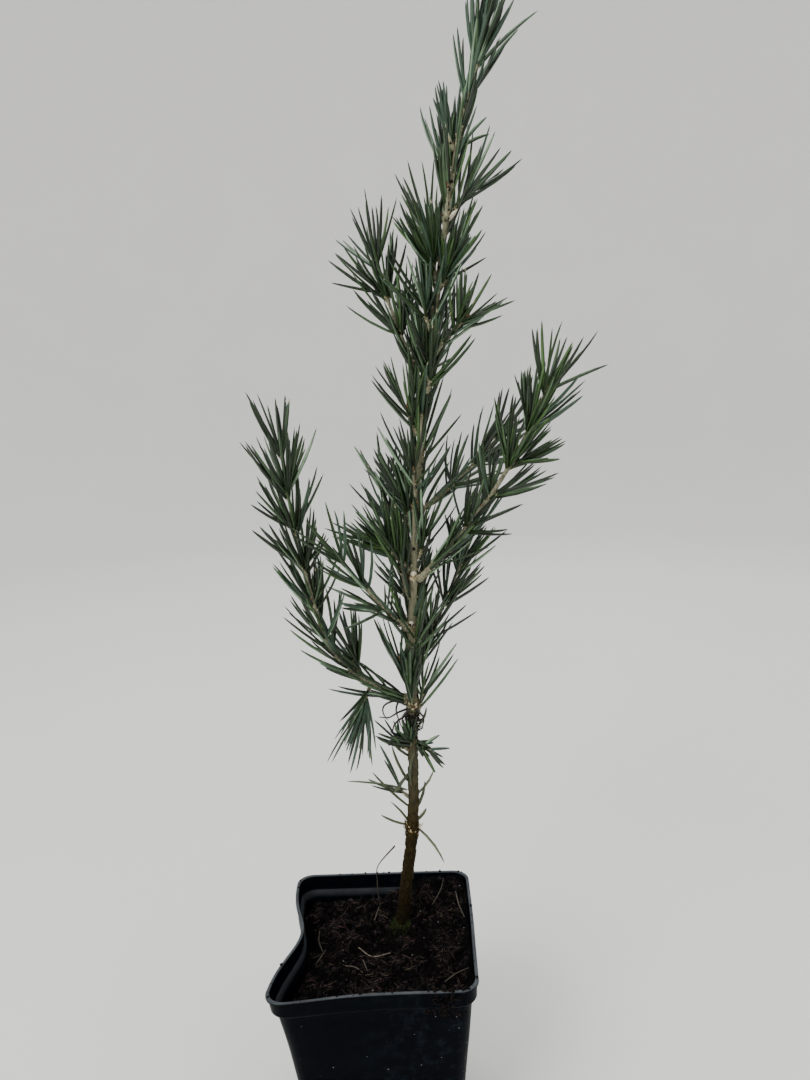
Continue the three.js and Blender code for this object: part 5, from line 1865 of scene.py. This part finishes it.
def add_light(name, place, power, size):
    """A soft square light that faces the middle of the plant"""
    light = bpy.data.lights.new(name, "AREA")
    light.energy = power
    light.shape = "SQUARE"
    light.size = size
    lamp = bpy.data.objects.new(name, light)
    lamp.location = Vector(place)
    lamp.rotation_euler = (Vector(LIGHT_TARGET) - lamp.location).to_track_quat("-Z", "Y").to_euler()
    bpy.context.scene.collection.objects.link(lamp)


def make_lights(settings):
    world = bpy.context.scene.world or bpy.data.worlds.new("studio")
    bpy.context.scene.world = world
    world.use_nodes = True
    tree = world.node_tree
    tree.nodes.clear()
    sky = add_node(tree, "ShaderNodeBackground", {"Color": linear("#eef2f6"), "Strength": settings.sky})
    add_node(tree, "ShaderNodeOutputWorld", links={"Surface": sky})
    add_light("key_light", (-0.9, -1.1, 1.35), settings.key, 0.9)
    add_light("fill_light", (1.3, -0.9, 0.8), settings.fill, 1.1)
    add_light("rim_light", (0.3, 1.2, 1.5), settings.rim, 0.9)


def make_camera():
    lens = bpy.data.cameras.new("photo_camera")
    lens.sensor_fit = "AUTO"
    lens.sensor_width = SENSOR
    lens.lens = SENSOR * CAMERA_FOCAL_PIXELS / IMAGE_HEIGHT_PIXELS
    lens.clip_start = 0.01
    lens.clip_end = 20
    camera = bpy.data.objects.new("photo_camera", lens)
    pitch = Euler((math.radians(90 - CAMERA_PITCH), 0, 0)).to_matrix()
    roll = Euler((0, 0, math.radians(-CAMERA_ROLL))).to_matrix()
    camera.rotation_euler = (pitch @ roll).to_euler()
    camera.location = Vector(CAMERA_PLACE) * MM
    bpy.context.scene.collection.objects.link(camera)
    bpy.context.scene.camera = camera


class CEDAR_OT_build_stage(bpy.types.Operator):
    """Build the floor, the soft lights and the camera"""

    bl_idname = "cedar.build_stage"
    bl_label = "Stage"

    def execute(self, context):
        make_floor(context.scene.cedar_stage)
        make_lights(context.scene.cedar_stage)
        make_camera()
        return {"FINISHED"}


class CEDAR_OT_build_pot(bpy.types.Operator):
    """Build the dented square pot and the specks on it"""

    bl_idname = "cedar.build_pot"
    bl_label = "Pot"

    def execute(self, context):
        make_pot(context.scene.cedar_pot)
        make_pot_specks(context.scene.cedar_compost)
        return {"FINISHED"}


class CEDAR_OT_build_compost(bpy.types.Operator):
    """Build the compost's lumpy surface and its loose crumbs"""

    bl_idname = "cedar.build_compost"
    bl_label = "Compost"

    def execute(self, context):
        wall = context.scene.cedar_pot.wall / MM
        make_compost(context.scene.cedar_compost, wall)
        make_crumbs(context.scene.cedar_compost, wall)
        return {"FINISHED"}


class CEDAR_OT_build_litter(bpy.types.Operator):
    """Build the fibres, the dry stalks and the moss on the compost"""

    bl_idname = "cedar.build_litter"
    bl_label = "Fibres, stalks and moss"

    def execute(self, context):
        wall = context.scene.cedar_pot.wall / MM
        make_fibres(context.scene.cedar_compost, wall)
        make_stalks(context.scene.cedar_compost, wall)
        make_moss(context.scene.cedar_compost, wall)
        return {"FINISHED"}


class CEDAR_OT_build_wood(bpy.types.Operator):
    """Build the trunk with its bark, and the boughs and twigs"""

    bl_idname = "cedar.build_wood"
    bl_label = "Trunk and boughs"

    def execute(self, context):
        make_trunk(context.scene.cedar_bark)
        make_boughs(context.scene.cedar_bark)
        return {"FINISHED"}


class CEDAR_OT_build_buds(bpy.types.Operator):
    """Build the buds and the papery scales round the whorls"""

    bl_idname = "cedar.build_buds"
    bl_label = "Buds and scales"

    def execute(self, context):
        make_buds(context.scene.cedar_bark)
        make_bud_scales(context.scene.cedar_bark)
        return {"FINISHED"}


class CEDAR_OT_build_needles(bpy.types.Operator):
    """Build the sprays of needles and the lone needles on the trunk"""

    bl_idname = "cedar.build_needles"
    bl_label = "Needles"

    def execute(self, context):
        make_needles(context.scene.cedar_needles)
        make_lone_needles(context.scene.cedar_needles)
        return {"FINISHED"}


class CEDAR_PT_sidebar(bpy.types.Panel):
    """The plant's sizes, colours and build steps"""

    bl_idname = "CEDAR_PT_sidebar"
    bl_label = "Potted cedar"
    bl_space_type = "VIEW_3D"
    bl_region_type = "UI"
    bl_category = "Cedar"

    def draw(self, context):
        for setting, group, operators in PANEL_ROWS:
            box = self.layout.box()
            settings = getattr(context.scene, setting)
            for name in group.__annotations__:
                box.prop(settings, name)
            for operator in operators:
                box.operator(operator.bl_idname)


PANEL_ROWS = [
    ("cedar_stage", CedarStageSettings, [CEDAR_OT_build_stage]),
    ("cedar_pot", CedarPotSettings, [CEDAR_OT_build_pot]),
    ("cedar_compost", CedarCompostSettings, [CEDAR_OT_build_compost, CEDAR_OT_build_litter]),
    ("cedar_bark", CedarBarkSettings, [CEDAR_OT_build_wood, CEDAR_OT_build_buds]),
    ("cedar_needles", CedarNeedleSettings, [CEDAR_OT_build_needles]),
]


def register():
    for setting, group, operators in PANEL_ROWS:
        bpy.utils.register_class(group)
        setattr(bpy.types.Scene, setting, bpy.props.PointerProperty(type=group))
        for operator in operators:
            bpy.utils.register_class(operator)
    bpy.utils.register_class(CEDAR_PT_sidebar)


def unregister():
    bpy.utils.unregister_class(CEDAR_PT_sidebar)
    for setting, group, operators in reversed(PANEL_ROWS):
        for operator in reversed(operators):
            bpy.utils.unregister_class(operator)
        delattr(bpy.types.Scene, setting)
        bpy.utils.unregister_class(group)


def main():
    register()
    bpy.ops.cedar.build_stage()
    bpy.ops.cedar.build_pot()
    bpy.ops.cedar.build_compost()
    bpy.ops.cedar.build_litter()
    bpy.ops.cedar.build_wood()
    bpy.ops.cedar.build_buds()
    bpy.ops.cedar.build_needles()
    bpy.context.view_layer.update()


if __name__ == "__main__":
    main()
